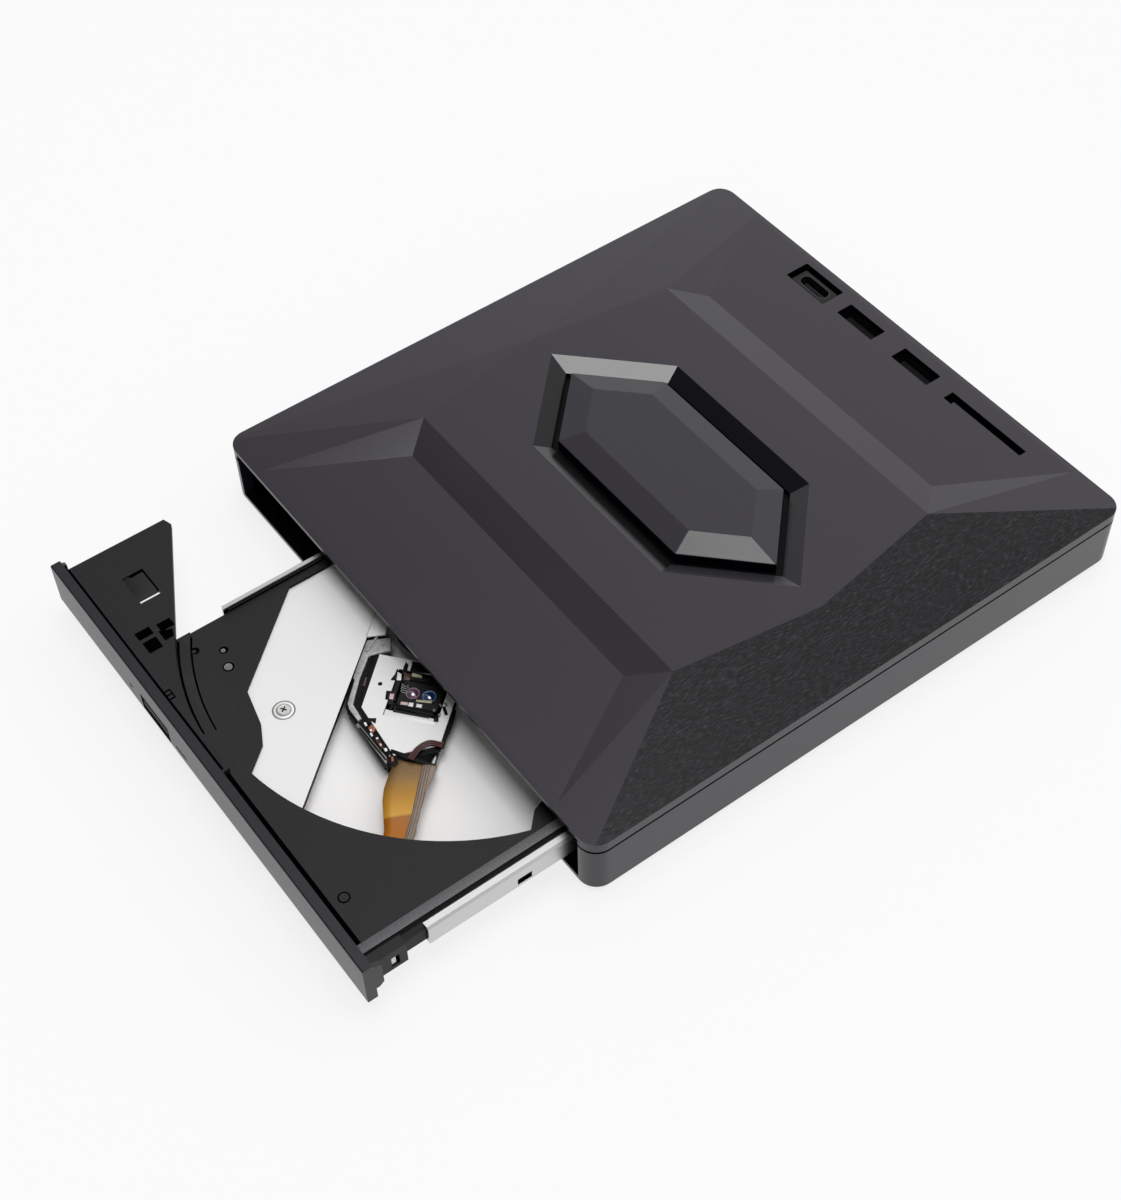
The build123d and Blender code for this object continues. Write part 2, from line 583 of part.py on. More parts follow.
# Tray frame: deck with the wing at its left, side walls, the stepped disc recess and the large window
mid_x = (tray_left + tray_right) / 2
mid_y = (tray_front + tray_rear) / 2
wing_left = pan_left + 1.3
wing_join_y = disc_y - sqrt(rim_r**2 - (disc_x - tray_left) ** 2)
window_outline = [(-29.6, 16.0), (-29.6, -25.3), (-10.6, -47.6), (-1.2, -49.8), (3.6, -52.3), (8.4, -58.1)]
with BuildPart() as tray_frame:
    with BuildSketch(Plane.XY.offset(belly_top)):
        with Locations((mid_x, mid_y)):
            Rectangle(tray_right - tray_left, tray_rear - tray_front)
            Rectangle(tray_right - tray_left - 2.4, tray_rear - tray_front - 2.4, mode=Mode.SUBTRACT)
    extrude(amount=deck_top - belly_top)
    with BuildSketch(Plane.XY.offset(deck_top - deck_t)):
        with Locations((mid_x, mid_y)):
            Rectangle(tray_right - tray_left, tray_rear - tray_front)
    extrude(amount=deck_t)
    # Upper level: the wing and the strip in front of the disc
    with BuildSketch(Plane.XY.offset(deck_top - 0.1)):
        with BuildLine():
            Polyline((wing_left, tray_front), (wing_left, front_y - 22.7), (wing_left + 2.3, front_y - 22.0),
                     (tray_left, wing_join_y), (tray_left + 3, disc_y), (disc_x + 1, disc_y),
                     (disc_x + 6, tray_front), close=True)
        make_face()
        with Locations((disc_x, disc_y)):
            Circle(rim_r, mode=Mode.SUBTRACT)
    extrude(amount=wing_top - deck_top + 0.1)
    # Skirt under the wing
    with BuildSketch(Plane.XY.offset(deck_top - 1.6)):
        with BuildLine():
            Polyline((wing_left, tray_front), (wing_left, front_y - 37.5), (wing_left + 1.0, front_y - 37.5),
                     (wing_left + 1.0, tray_front + 1.2), (tray_left, tray_front + 1.2),
                     (tray_left, tray_front), close=True)
        make_face()
    extrude(amount=1.6)
    with BuildSketch(Plane.XY.offset(deck_top - 2.2)):
        with Locations((wing_left + 0.6, front_y - 40.4)):
            SlotOverall(7.4, 2.2, rotation=90)
    extrude(amount=2.2)
    # Disc recess, one small step lower than the ledge round it
    with BuildSketch(disc_plane(recess_top)):
        Circle(ledge_r)
    extrude(amount=3, mode=Mode.SUBTRACT)
    # Window over the pickup and the spindle
    with BuildSketch(disc_plane(belly_top)):
        with BuildLine():
            edge = Polyline(*window_outline)
            start = edge @ 1
            reach = sqrt(start.X**2 + start.Y**2)
            end = (reach * cos(radians(-20)), reach * sin(radians(-20)))
            ThreePointArc(start, (reach * cos(radians(-50)), reach * sin(radians(-50))), end)
            Polyline(end, (51.4, -16.4), (38, 24), (12, 34), (-14, 34), (-29.6, 16.0))
        make_face()
    extrude(amount=10, mode=Mode.SUBTRACT)
    # Wing window, the four small openings beside it, and three small holes in the recess
    with BuildSketch(Plane.XY.offset(deck_top - 3)):
        with Locations((-47.2, front_y - 36.4)):
            Rectangle(8.8, 5.2)
        with Locations((-40.3, front_y - 43.2), (-35.4, front_y - 37.6), (-37.6, front_y - 46.2)):
            Rectangle(4.2, 2.0)
        with Locations((-33.4, front_y - 40.4)):
            Rectangle(2.2, 2.0)
    extrude(amount=8, mode=Mode.SUBTRACT)
    with BuildSketch(Plane.XY.offset(recess_top - 1)):
        with Locations((-25.4, front_y - 35.6), (-21.8, front_y - 30.5), (-17.0, front_y - 32.0)):
            Circle(0.75)
    extrude(amount=2, mode=Mode.SUBTRACT)
    # Sloped strip along the right edge
    with BuildSketch(Plane.XZ.offset(-tray_front)):
        with BuildLine():
            Polyline((tray_right - 2.1, deck_top), (tray_right + 1, deck_top),
                     (tray_right + 1, deck_top - 1.0), (tray_right, deck_top - 0.7), close=True)
        make_face()
    extrude(amount=-(tray_rear - tray_front), mode=Mode.SUBTRACT)
    # Runners that ride in the rails
    with BuildSketch(Plane.XY.offset(rail_z0 + rail_sheet + 0.15)):
        with Locations(((tray_right + right_out - rail_sheet - 0.15) / 2, (front_y - 33.0 + tray_rear) / 2)):
            Rectangle(right_out - rail_sheet - 0.15 - tray_right, tray_rear - front_y + 33.0)
        with Locations(((tray_left + left_out + 0.65) / 2, (front_y - 24.0 + tray_rear) / 2)):
            Rectangle(tray_left - left_out - 0.65, tray_rear - front_y + 24.0)
    extrude(amount=rail_z1 - rail_z0 - 2 * rail_sheet - 0.3)
    # Side bracket behind the bezel, with its small window
    with BuildSketch(Plane.XY.offset(foot_h + 5.4)):
        with Locations((tray_right + 1.2, (tray_front + front_y - 39.4) / 2)):
            Rectangle(2.4, front_y - 39.4 - tray_front)
    extrude(amount=6.4)
    with BuildSketch(Plane.YZ.offset(tray_right + 3.2)):
        with Locations((front_y - 42.2, foot_h + 8.0)):
            Rectangle(2.0, 3.2)
    extrude(amount=-2.6, mode=Mode.SUBTRACT)
    # Openings in the front wall for the button's stem and the light pipe
    with BuildSketch(Plane.XZ.offset(-tray_front)):
        with Locations((button_x, button_z)):
            Rectangle(button_w + 2, 3.4)
    extrude(amount=-1.3, mode=Mode.SUBTRACT)
    with BuildSketch(Plane.XZ.offset(-tray_front)):
        with Locations((led_x + 0.4, button_z + 0.4)):
            Rectangle(3.0, 2.4)
    extrude(amount=-3.2, mode=Mode.SUBTRACT)
tray_frame.part.label = "tray_frame"

# Bezel: wide front strip with returns at both ends, and holes for the button, lamp and release pin
bezel_x0, bezel_x1 = drive_x - bezel_w / 2, drive_x + bezel_w / 2
with BuildPart() as bezel:
    with BuildSketch(Plane.XY.offset(bezel_z0)):
        with Locations((drive_x, bezel_y + bezel_t / 2)):
            Rectangle(bezel_w, bezel_t)
    extrude(amount=bezel_z1 - bezel_z0)
    fillet(bezel.edges().filter_by(Axis.X).group_by(Axis.Y)[0], 0.35)
    with BuildSketch(Plane.YZ.offset(bezel_x1)):
        with BuildLine():
            Polyline((bezel_y + 1, bezel_z1), (bezel_y + 4.3, bezel_z1 - 1.4), (bezel_y + 4.3, bezel_z0 + 4.2),
                     (bezel_y + 3.2, bezel_z0 + 3.2), (bezel_y + 1, bezel_z0 + 3.2), close=True)
        make_face()
    extrude(amount=-1.2)
    with BuildSketch(Plane.YZ.offset(bezel_x0)):
        with BuildLine():
            Polyline((bezel_y + 1, bezel_z1), (bezel_y + 3.4, bezel_z1 - 1.2), (bezel_y + 3.4, bezel_z0 + 4.2),
                     (bezel_y + 1, bezel_z0 + 3.2), close=True)
        make_face()
    extrude(amount=1.0)
    with BuildSketch(Plane.XZ.offset(-(bezel_y + bezel_t))):
        with Locations((-48, foot_h + 10.9), (-5, foot_h + 9.6), (40, foot_h + 9.4)):
            Rectangle(9, 1.4)
    extrude(amount=-clear)
    with BuildSketch(Plane.XZ.offset(-(bezel_y - 1))):
        with Locations((button_x, button_z)):
            RectangleRounded(button_w, button_h, 0.5)
        with Locations((led_x, button_z + 0.4)):
            Circle(0.65)
        with Locations((-7.4, button_z - 0.9)):
            SlotOverall(4.6, 0.8)
    extrude(amount=-6, mode=Mode.SUBTRACT)
bezel.part.label = "bezel"

with BuildPart() as light_pipe:
    with BuildSketch(Plane.XZ.offset(-(bezel_y + 0.1))):
        with Locations((led_x, button_z + 0.4)):
            Circle(0.65)
    extrude(amount=-5.2)
light_pipe.part.label = "light_pipe"

with BuildPart() as eject_button:
    with BuildSketch(Plane.XZ.offset(-(bezel_y + 0.15))):
        with Locations((button_x, button_z)):
            RectangleRounded(button_w - 0.5, button_h - 0.5, 0.4)
    extrude(amount=-2.2)
    with BuildSketch(Plane.XZ.offset(-(bezel_y + 2.35))):
        with Locations((button_x, button_z)):
            Rectangle(2.4, 1.4)
    extrude(amount=-1.2)
eject_button.part.label = "eject_button"

with BuildPart() as front_board:
    with BuildSketch(Plane.XY.offset(belly_top)):
        with Locations((-18.4, tray_front + 6.0)):
            Rectangle(21.2, 8.8)
    extrude(amount=0.5)
front_board.part.label = "front_board"

with BuildPart() as eject_switch:
    with BuildSketch(Plane.XY.offset(belly_top + 0.5)):
        with Locations((button_x, tray_front + 4.2)):
            Rectangle(6.0, 3.4)
    extrude(amount=2.2)
    with BuildSketch(Plane.XZ.offset(-(tray_front + 1.85))):
        with Locations((button_x, button_z)):
            Rectangle(2.0, 1.0)
    extrude(amount=-0.7)
eject_switch.part.label = "eject_switch"

with BuildPart() as lamp:
    with BuildSketch(Plane.XY.offset(belly_top + 0.5)):
        with Locations((led_x + 1.0, tray_front + 3.5)):
            Rectangle(2.0, 1.8)
    extrude(amount=1.9)
lamp.part.label = "lamp"

# Side catch: black slide stop between the bracket and the right rail
with BuildPart() as side_catch:
    with BuildSketch(Plane.XY.offset(foot_h + 7.3)):
        with Locations((tray_right + 0.85, front_y - 36.2)):
            Rectangle(1.7, 6.4)
    extrude(amount=3.8)
side_catch.part.label = "side_catch"

plate_screw_at = (32.4, -29.6)

# Belly plate: bright sheet that closes the tray from below and is the floor under the pickup
with BuildPart() as belly_plate:
    with BuildSketch(Plane.XY.offset(belly_z)):
        with Locations((mid_x, mid_y)):
            Rectangle(tray_right - tray_left, tray_rear - tray_front)
    extrude(amount=belly_t)
    # Riveted post for the cover plate's screw
    with BuildSketch(sled_plane(belly_top)):
        with Locations(plate_screw_at):
            Circle(2.2)
            Circle(0.95, mode=Mode.SUBTRACT)
    extrude(amount=plate_top - plate_t - belly_top)
belly_plate.part.label = "belly_plate"

# Cover plate: raised bright sheet left of the pickup, with its folded step edge
cover_outline = [(3.0, step_v), (57.2, step_v), (53.0, -32.2), (44.0, -34.0), (38.0, -36.0), (31.0, -40.8),
                 (-1.5, -41.3), (-11.0, -34.0), (-34.0, -12.0), (-24.0, 6.0), (-14.5, 6.0), (-12.5, -12.0)]
with BuildPart() as cover_plate:
    with BuildSketch(sled_plane(plate_top - plate_t)):
        with BuildLine():
            Polyline(*cover_outline, close=True)
        make_face()
        with Locations(plate_screw_at):
            Circle(0.95, mode=Mode.SUBTRACT)
    extrude(amount=plate_t)
    split(bisect_by=Plane.YZ.offset(tray_left + 1.4), keep=Keep.TOP)
    with BuildSketch(sled_plane(plate_top - 1.5)):
        with Locations((30.1, step_v - 0.25)):
            Rectangle(54.2, 0.5)
    extrude(amount=1.2)
cover_plate.part.label = "cover_plate"

with BuildPart() as plate_screw:
    with BuildSketch(sled_plane(plate_top)):
        with Locations(plate_screw_at):
            Circle(1.9)
    extrude(amount=0.5)
    chamfer(plate_screw.faces().sort_by(Axis.Z)[-1].edges(), 0.2)
    with BuildSketch(sled_plane(plate_top - plate_t)):
        with Locations(plate_screw_at):
            Circle(0.9)
    extrude(amount=plate_t)
    with BuildSketch(sled_plane(plate_top + 0.2)):
        with Locations(plate_screw_at):
            Rectangle(1.9, 0.4)
            Rectangle(0.4, 1.9)
    extrude(amount=1, mode=Mode.SUBTRACT)
plate_screw.part.label = "plate_screw"


def along_sled(radius, v, z, x0, x1, mode=Mode.ADD):
    """Round bar parallel to the pickup's travel."""
    along = Vector(cos(radians(sled_angle)), sin(radians(sled_angle)), 0)
    across = Vector(-along.Y, along.X, 0)
    start = Vector(disc_x, disc_y, z) + along * x0 + across * v
    with BuildSketch(Plane(origin=start, z_dir=along)) as section:
        RegularPolygon(radius, 16)
    extrude(section.sketch, amount=x1 - x0, mode=mode)


wall_u = (disc_y + sin(radians(90 + sled_angle)) * main_rod_v - tray_front - 1.2) / -sin(radians(sled_angle))
main_span = (2.0, wall_u - 2.4)
side_span = (10.9, 66.0)
with BuildPart() as guide_rods:
    along_sled(rod_r, main_rod_v, rod_z, *main_span)
    along_sled(side_rod_r, side_rod_v, rod_z, *side_span)
guide_rods.part.label = "guide_rods"

# Rod clamps: plastic blocks on the belly plate that hold the rods' ends and the lead screw's far end
screw_z = rod_z
with BuildPart() as rod_clamps:
    with BuildSketch(sled_plane(belly_top)):
        with Locations((main_span[0] + 1, main_rod_v), (main_span[1] - 1, main_rod_v)):
            Rectangle(2.0, 3.6)
        with Locations((main_span[1] - 3.5, screw_v)):
            Rectangle(1.6, 3.2)
    extrude(amount=rod_z + rod_r + 0.1 - belly_top)
    with BuildSketch(sled_plane(belly_top)):
        with Locations((side_span[0] + 0.8, side_rod_v + 0.35), (side_span[1] - 0.8, side_rod_v + 0.35)):
            Rectangle(1.6, 2.5)
    extrude(amount=rod_z + side_rod_r + 0.1 - belly_top)
    along_sled(rod_r, main_rod_v, rod_z, -5, 90, mode=Mode.SUBTRACT)
    along_sled(side_rod_r, side_rod_v, rod_z, 0, 90, mode=Mode.SUBTRACT)
    along_sled(0.5 + bearing_gap, screw_v, screw_z, 0, 90, mode=Mode.SUBTRACT)
rod_clamps.part.label = "rod_clamps"

# Sled motor: small can at the inner end of the lead screw, on its bracket
motor_span = (-4.0, 8.0)
with BuildPart() as sled_motor:
    along_sled(motor_r, screw_v - 1.2, belly_top + motor_r, *motor_span)
    with BuildSketch(sled_plane(belly_top)):
        with Locations((motor_span[1] + 0.4, screw_v - 0.65)):
            Rectangle(0.8, 5.5)
    extrude(amount=2 * motor_r - 0.3)
    along_sled(0.5 + bearing_gap, screw_v, screw_z, 7.0, 90, mode=Mode.SUBTRACT)
sled_motor.part.label = "sled_motor"

# Lead screw with its thread cut as even grooves, on an eight-sided section
thread_span = (9.4, main_span[1] - 4.5)
thread_count = 15
with BuildPart() as lead_screw:
    along_sled(0.5, screw_v, screw_z, 7.2, main_span[1] - 3.0)
    along = Vector(cos(radians(sled_angle)), sin(radians(sled_angle)), 0)
    across = Vector(-along.Y, along.X, 0)
    screw_start = Vector(disc_x, disc_y, screw_z) + along * thread_span[0] + across * screw_v
    pitch = (thread_span[1] - thread_span[0]) / thread_count
    for turn in range(thread_count):
        with BuildSketch(Plane(origin=screw_start + along * pitch * turn, z_dir=along)):
            RegularPolygon(screw_r, 8)
        extrude(amount=pitch * 0.72)
        with BuildSketch(Plane(origin=screw_start + along * pitch * (turn + 0.72), z_dir=along)):
            RegularPolygon(screw_r - 0.22, 8)
        extrude(amount=pitch * 0.28)
lead_screw.part.label = "lead_screw"

# Spindle: fixed motor base, and the turntable with its rotor, rubber seat and three claws
stator_top = foot_h + 7.2
with BuildPart() as spindle_base:
    with BuildSketch(disc_plane(belly_top)):
        RegularPolygon(10.6, 40)
    extrude(amount=stator_top - belly_top)
    chamfer(spindle_base.faces().sort_by(Axis.Z)[-1].edges(), 0.5)
    with BuildSketch(disc_plane(belly_top)):
        RegularPolygon(1.2 + bearing_gap, 16)
    extrude(amount=10, mode=Mode.SUBTRACT)
spindle_base.part.label = "spindle_base"

with BuildPart() as turntable:
    with BuildSketch(disc_plane(belly_top + 0.2)):
        RegularPolygon(1.2, 16)
    extrude(amount=6)
    with BuildSketch(disc_plane(stator_top + 0.3)):
        RegularPolygon(9.9, 40)
    extrude(amount=turntable_z - 0.8 - stator_top - 0.3)
    with BuildSketch(disc_plane(turntable_z - 0.8)):
        RegularPolygon(turntable_r, 48)
    extrude(amount=0.6)
    with BuildSketch(disc_plane(turntable_z - 0.2)):
        RegularPolygon(hub_r, 40)
    extrude(amount=1.35)
    chamfer(turntable.faces().sort_by(Axis.Z)[-1].edges(), 0.5)
    with BuildSketch(disc_plane(turntable_z + 0.1)):
        with PolarLocations(hub_r - 1.0, 3, start_angle=90):
            Rectangle(2.6, 2.2)
    extrude(amount=2, mode=Mode.SUBTRACT)
turntable.part.label = "turntable"

with BuildPart() as disc_seat:
    with BuildSketch(disc_plane(turntable_z - 0.2)):
        RegularPolygon(turntable_r - 0.3, 48)
        RegularPolygon(turntable_r - 3.0, 48, mode=Mode.SUBTRACT)
    extrude(amount=0.2)
disc_seat.part.label = "disc_seat"

with BuildPart() as hub_claws:
    with BuildSketch(disc_plane(turntable_z + 0.1)):
        with PolarLocations(hub_r - 1.05, 3, start_angle=90):
            Rectangle(2.4, 1.8)
    extrude(amount=0.8)
    chamfer(hub_claws.edges().filter_by(Axis.Z), 0.3)
hub_claws.part.label = "hub_claws"

# Pickup sled: base, metal cover, actuator with the sprung lens holder
sled_outline = [(12.8, -17.0), (28.6, -16.6), (40.2, -4.4), (34.4, 5.6), (12.8, 5.6)]
well_u, well_v = 22.0, -2.95
well_w = 11.9
channel_v = side_rod_v - 1.1
lens_v = (-0.4, -4.1)
with BuildPart() as sled_base:
    with BuildSketch(sled_plane(sled_z0)):
        with BuildLine():
            Polyline(*sled_outline, close=True)
        make_face()
    extrude(amount=sled_top - 0.4 - sled_z0)
    # Hollow from below, actuator well, and the channel over the side rod
    with BuildSketch(sled_plane(sled_z0)):
        with BuildLine():
            Polyline((29.8, -14.0), (37.6, -4.6), (34.4, -1.2), (29.8, -1.2), close=True)
        make_face()
        with Locations((27.0, channel_v + 2)):
            Rectangle(40, 4)
    extrude(amount=rod_z + rod_r + 0.35 - sled_z0, mode=Mode.SUBTRACT)
    with BuildSketch(sled_plane(sled_z0 + 0.7)):
        with Locations((well_u, well_v)):
            Rectangle(12.6, well_w)
    extrude(amount=6, mode=Mode.SUBTRACT)
    # Two arms to the main rod, the tooth for the lead screw, and the shoe on the side rod
    with BuildSketch(sled_plane(sled_z0)):
        with Locations((8.0, -20.7), (18.0, -20.7)):
            Rectangle(4.0, 5.0)
        with Locations((13.6, -17.6)):
            Rectangle(12.0, 6.0)
    extrude(amount=rod_z + rod_r + 0.35 - sled_z0)
    with BuildSketch(sled_plane(sled_z0)):
        with Locations((25.4, channel_v + 1.0)):
            Rectangle(5.0, 2.1)
    extrude(amount=rod_z + rod_r + 0.4 - sled_z0)
    along_sled(rod_r + bearing_gap, main_rod_v, rod_z, -5, 90, mode=Mode.SUBTRACT)
    along_sled(side_rod_r + bearing_gap, side_rod_v, rod_z, -5, 90, mode=Mode.SUBTRACT)
    with BuildSketch(sled_plane(rod_z - side_rod_r - bearing_gap)):
        with Locations((25.4, side_rod_v + 2)):
            Rectangle(6.0, 4.0)
    extrude(amount=2 * (side_rod_r + bearing_gap), mode=Mode.SUBTRACT)
sled_base.part.label = "sled_base"

with BuildPart() as sled_nut:
    with BuildSketch(sled_plane(sled_z0)):
        with Locations((13.0, (screw_v - 20.6) / 2 - 0.3)):
            Rectangle(2.4, -20.6 - screw_v + 0.6)
    extrude(amount=rod_z + rod_r + 0.35 - sled_z0)
    along_sled(screw_r + 0.15, screw_v, screw_z, -5, 90, mode=Mode.SUBTRACT)
    along_sled(rod_r + bearing_gap, main_rod_v, rod_z, -5, 90, mode=Mode.SUBTRACT)
sled_nut.part.label = "sled_nut"

with BuildPart() as sled_cover:
    with BuildSketch(sled_plane(sled_top - 0.4)):
        with BuildLine():
            Polyline((12.8, -14.2), (27.4, -13.9), (37.9, -3.6), (33.2, 5.2), (12.8, 5.2), close=True)
        make_face()
        with Locations((well_u, well_v)):
            Rectangle(12.6, well_w, mode=Mode.SUBTRACT)
        with Locations((20.5, -11.8)):
            Circle(0.5, mode=Mode.SUBTRACT)
    extrude(amount=0.4)
sled_cover.part.label = "sled_cover"

with BuildPart() as actuator_yoke:
    with BuildSketch(sled_plane(sled_z0 + 0.7)):
        with Locations((well_u, well_v)):
            Rectangle(12.0, well_w - 0.6)
    extrude(amount=0.5)
    with BuildSketch(sled_plane(sled_z0 + 1.2)):
        with Locations((well_u - 4.4, well_v), (well_u + 4.4, well_v)):
            Rectangle(1.4, 8.0)
        with Locations((well_u, well_v - well_w / 2 + 0.9)):
            Rectangle(7.0, 0.9)
    extrude(amount=sled_top + 0.3 - sled_z0 - 1.2)
actuator_yoke.part.label = "actuator_yoke"

with BuildPart() as lens_holder:
    with BuildSketch(sled_plane(sled_top - 1.5)):
        with Locations((well_u, (lens_v[0] + lens_v[1]) / 2)):
            RectangleRounded(6.6, 9.0, 0.5)
    extrude(amount=1.9)
    with BuildSketch(sled_plane(sled_top - 1.5)):
        with Locations(*[(lens_r, v) for v in lens_v]):
            Circle(1.45)
    extrude(amount=3, mode=Mode.SUBTRACT)
lens_holder.part.label = "lens_holder"

for name, v in (("lens_blue", lens_v[0]), ("lens_red", lens_v[1])):
    with BuildPart() as lens:
        with BuildSketch(sled_plane(sled_top - 0.7)):
            with Locations((lens_r, v)):
                Circle(1.45)
        extrude(amount=1.0)
        chamfer(lens.faces().sort_by(Axis.Z)[-1].edges(), 0.3)
    lens.part.label = name
    export_step(lens.part, "parts/%s.step" % name)

with BuildPart() as laser_wires:
    wire_z = sled_top - 0.4 + 0.22
    for shift in (0.0, 0.55):
        with BuildLine(sled_plane(wire_z)) as wire_path:
            Spline((39.0 - shift, -3.3), (37.3 - shift, -0.3), (35.6 - shift, 2.6), (34.2 - shift, 5.0))
        with BuildSketch(Plane(origin=wire_path.line @ 0, z_dir=wire_path.line % 0)):
            RegularPolygon(0.22, 8)
        sweep(path=wire_path.line)
laser_wires.part.label = "laser_wires"

# Orange ribbon: folded at the pickup, arched over the side rod, in under the deck and down to the belly plate
ribbon_v, ribbon_w, ribbon_t = 1.6, 9.0, 0.25
ribbon_line = [(39.7, 8.3), (41.0, 9.3), (45.0, 10.1), (49.5, 10.0), (55.0, 9.35), (61.0, 9.1),
               (66.0, 8.9), (68.6, 7.6), (71.0, 6.3), (73.6, belly_top + 0.05)]
with BuildPart() as pickup_ribbon:
    along = Vector(cos(radians(sled_angle)), sin(radians(sled_angle)), 0)
    across = Vector(-along.Y, along.X, 0)
    side_point = Vector(disc_x, disc_y, 0) + across * (ribbon_v + ribbon_w / 2)
    with BuildSketch(Plane(origin=side_point, x_dir=along, z_dir=across * -1)):
        with BuildLine():
            lower = Spline(*ribbon_line)
            upper = Spline(*[(u, z + ribbon_t) for u, z in ribbon_line])
            Line(lower @ 0, upper @ 0)
            Line(lower @ 1, upper @ 1)
        make_face()
    extrude(amount=ribbon_w)
pickup_ribbon.part.label = "pickup_ribbon"

for built in (base_shell, top_cover, gem_insert, feet, case_screws, drive_screws, hub_board, hub_chip,
              usb_c_block, usb_c_shell, usb_c_tongue, card_socket, drive_pan, drive_lid, guide_right,
              guide_left, drive_board, drive_chips, drive_socket, drive_plug, rail_right, rail_left,
              tray_frame, bezel, light_pipe, eject_button, front_board, eject_switch, lamp, side_catch,
              belly_plate, cover_plate, plate_screw, guide_rods, rod_clamps, sled_motor, lead_screw,
              spindle_base, turntable, disc_seat, hub_claws, sled_base, sled_nut, sled_cover,
              actuator_yoke, lens_holder, laser_wires, pickup_ribbon):
    export_step(built.part, "parts/%s.step" % built.part.label)
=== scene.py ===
# External disc drive with its tray half out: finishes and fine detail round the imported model, in metres.
from math import cos, pi, radians, sin, sqrt

import bmesh
import bpy
from mathutils import Matrix, Vector


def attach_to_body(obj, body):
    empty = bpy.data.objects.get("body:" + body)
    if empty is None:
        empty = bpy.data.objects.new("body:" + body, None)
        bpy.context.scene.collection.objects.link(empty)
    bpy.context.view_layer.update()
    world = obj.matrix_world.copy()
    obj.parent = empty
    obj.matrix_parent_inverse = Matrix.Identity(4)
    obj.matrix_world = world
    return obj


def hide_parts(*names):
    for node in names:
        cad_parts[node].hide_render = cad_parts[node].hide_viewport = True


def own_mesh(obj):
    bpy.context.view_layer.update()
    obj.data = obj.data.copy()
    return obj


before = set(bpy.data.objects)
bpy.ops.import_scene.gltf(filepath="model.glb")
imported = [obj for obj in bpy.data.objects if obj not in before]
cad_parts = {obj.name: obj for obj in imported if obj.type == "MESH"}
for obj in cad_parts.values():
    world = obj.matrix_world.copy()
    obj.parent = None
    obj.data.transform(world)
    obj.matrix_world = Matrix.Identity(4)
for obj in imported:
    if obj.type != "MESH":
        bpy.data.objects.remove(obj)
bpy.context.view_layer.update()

# Camera: looks down on the drive's front right corner at the photograph's angle, turned a little on its
# own axis, with the lens that makes the case's edges converge as they do there.
camera = bpy.data.objects.new("camera", bpy.data.cameras.new("camera"))
bpy.context.scene.collection.objects.link(camera)
camera.data.sensor_width = 36.0
camera.data.lens = 2038.75 / 1200 * 36.0
camera.data.clip_start = 0.01
camera_turn = Matrix.Rotation(radians(54.967), 4, "Z") @ Matrix.Rotation(radians(90 - 50.951), 4, "X")
camera_turn = camera_turn @ Matrix.Rotation(radians(-1.9013), 4, "Z")
camera.matrix_world = Matrix.Translation((0.24445, -0.20209, 0.36197)) @ camera_turn
bpy.context.scene.camera = camera
bpy.context.scene.view_settings.view_transform = "Standard"


class Wire:
    """One output of a shader node: arithmetic on it adds Math nodes, and node() adds any other."""

    def __init__(self, tree, socket=None):
        self.tree = tree
        self.socket = socket

    def node(self, kind, settings=None, inputs=None, output=0):
        made = self.tree.nodes.new("ShaderNode" + kind)
        for name, value in (settings or {}).items():
            if name == "stops":
                ramp = made.color_ramp
                while len(ramp.elements) < len(value):
                    ramp.elements.new(0.5)
                for element, (place, color) in zip(ramp.elements, value):
                    element.position = place
                    element.color = color if len(color) == 4 else (*color, 1)
            else:
                setattr(made, name, value)
        for name, value in (inputs or {}).items():
            if isinstance(value, Wire):
                self.tree.links.new(value.socket, made.inputs[name])
            else:
                made.inputs[name].default_value = value
        return Wire(self.tree, made.outputs[output])

    def math(self, operation, first, second):
        return self.node("Math", {"operation": operation}, {0: first, 1: second})

    def __add__(self, other):
        return self.math("ADD", self, other)

    def __sub__(self, other):
        return self.math("SUBTRACT", self, other)

    def __mul__(self, other):
        return self.math("MULTIPLY", self, other)

    __radd__ = __add__


# Studio: a white floor, a pale room that is bright behind the drive and dim before it, one soft lamp overhead
# and a weaker one behind the camera. The floor shows white and keeps the drive's shadow.
bpy.ops.mesh.primitive_plane_add(size=8)
floor = bpy.context.object
floor.name = "floor"
paint = bpy.data.materials.new("floor_white")
paint.use_nodes = True
floor.data.materials.append(paint)
matt = paint.node_tree.nodes["Principled BSDF"]
matt.inputs["Base Color"].default_value = (0.86, 0.86, 0.86, 1)
matt.inputs["Roughness"].default_value = 0.9
matt.inputs["Specular IOR Level"].default_value = 0.1
floor_wire = Wire(paint.node_tree)
rays = floor_wire.node("LightPath")
seen = rays + Wire(paint.node_tree, rays.socket.node.outputs["Is Glossy Ray"])
seen = (seen + Wire(paint.node_tree, rays.socket.node.outputs["Is Transmission Ray"])) * 0.8
white = floor_wire.node("Emission", inputs={"Color": (1, 1, 1, 1), "Strength": 1.0})
cast = floor_wire.node("MixShader", inputs={0: seen, 1: Wire(paint.node_tree, matt.outputs[0]), 2: white})
paint.node_tree.links.new(cast.socket, paint.node_tree.nodes["Material Output"].inputs["Surface"])

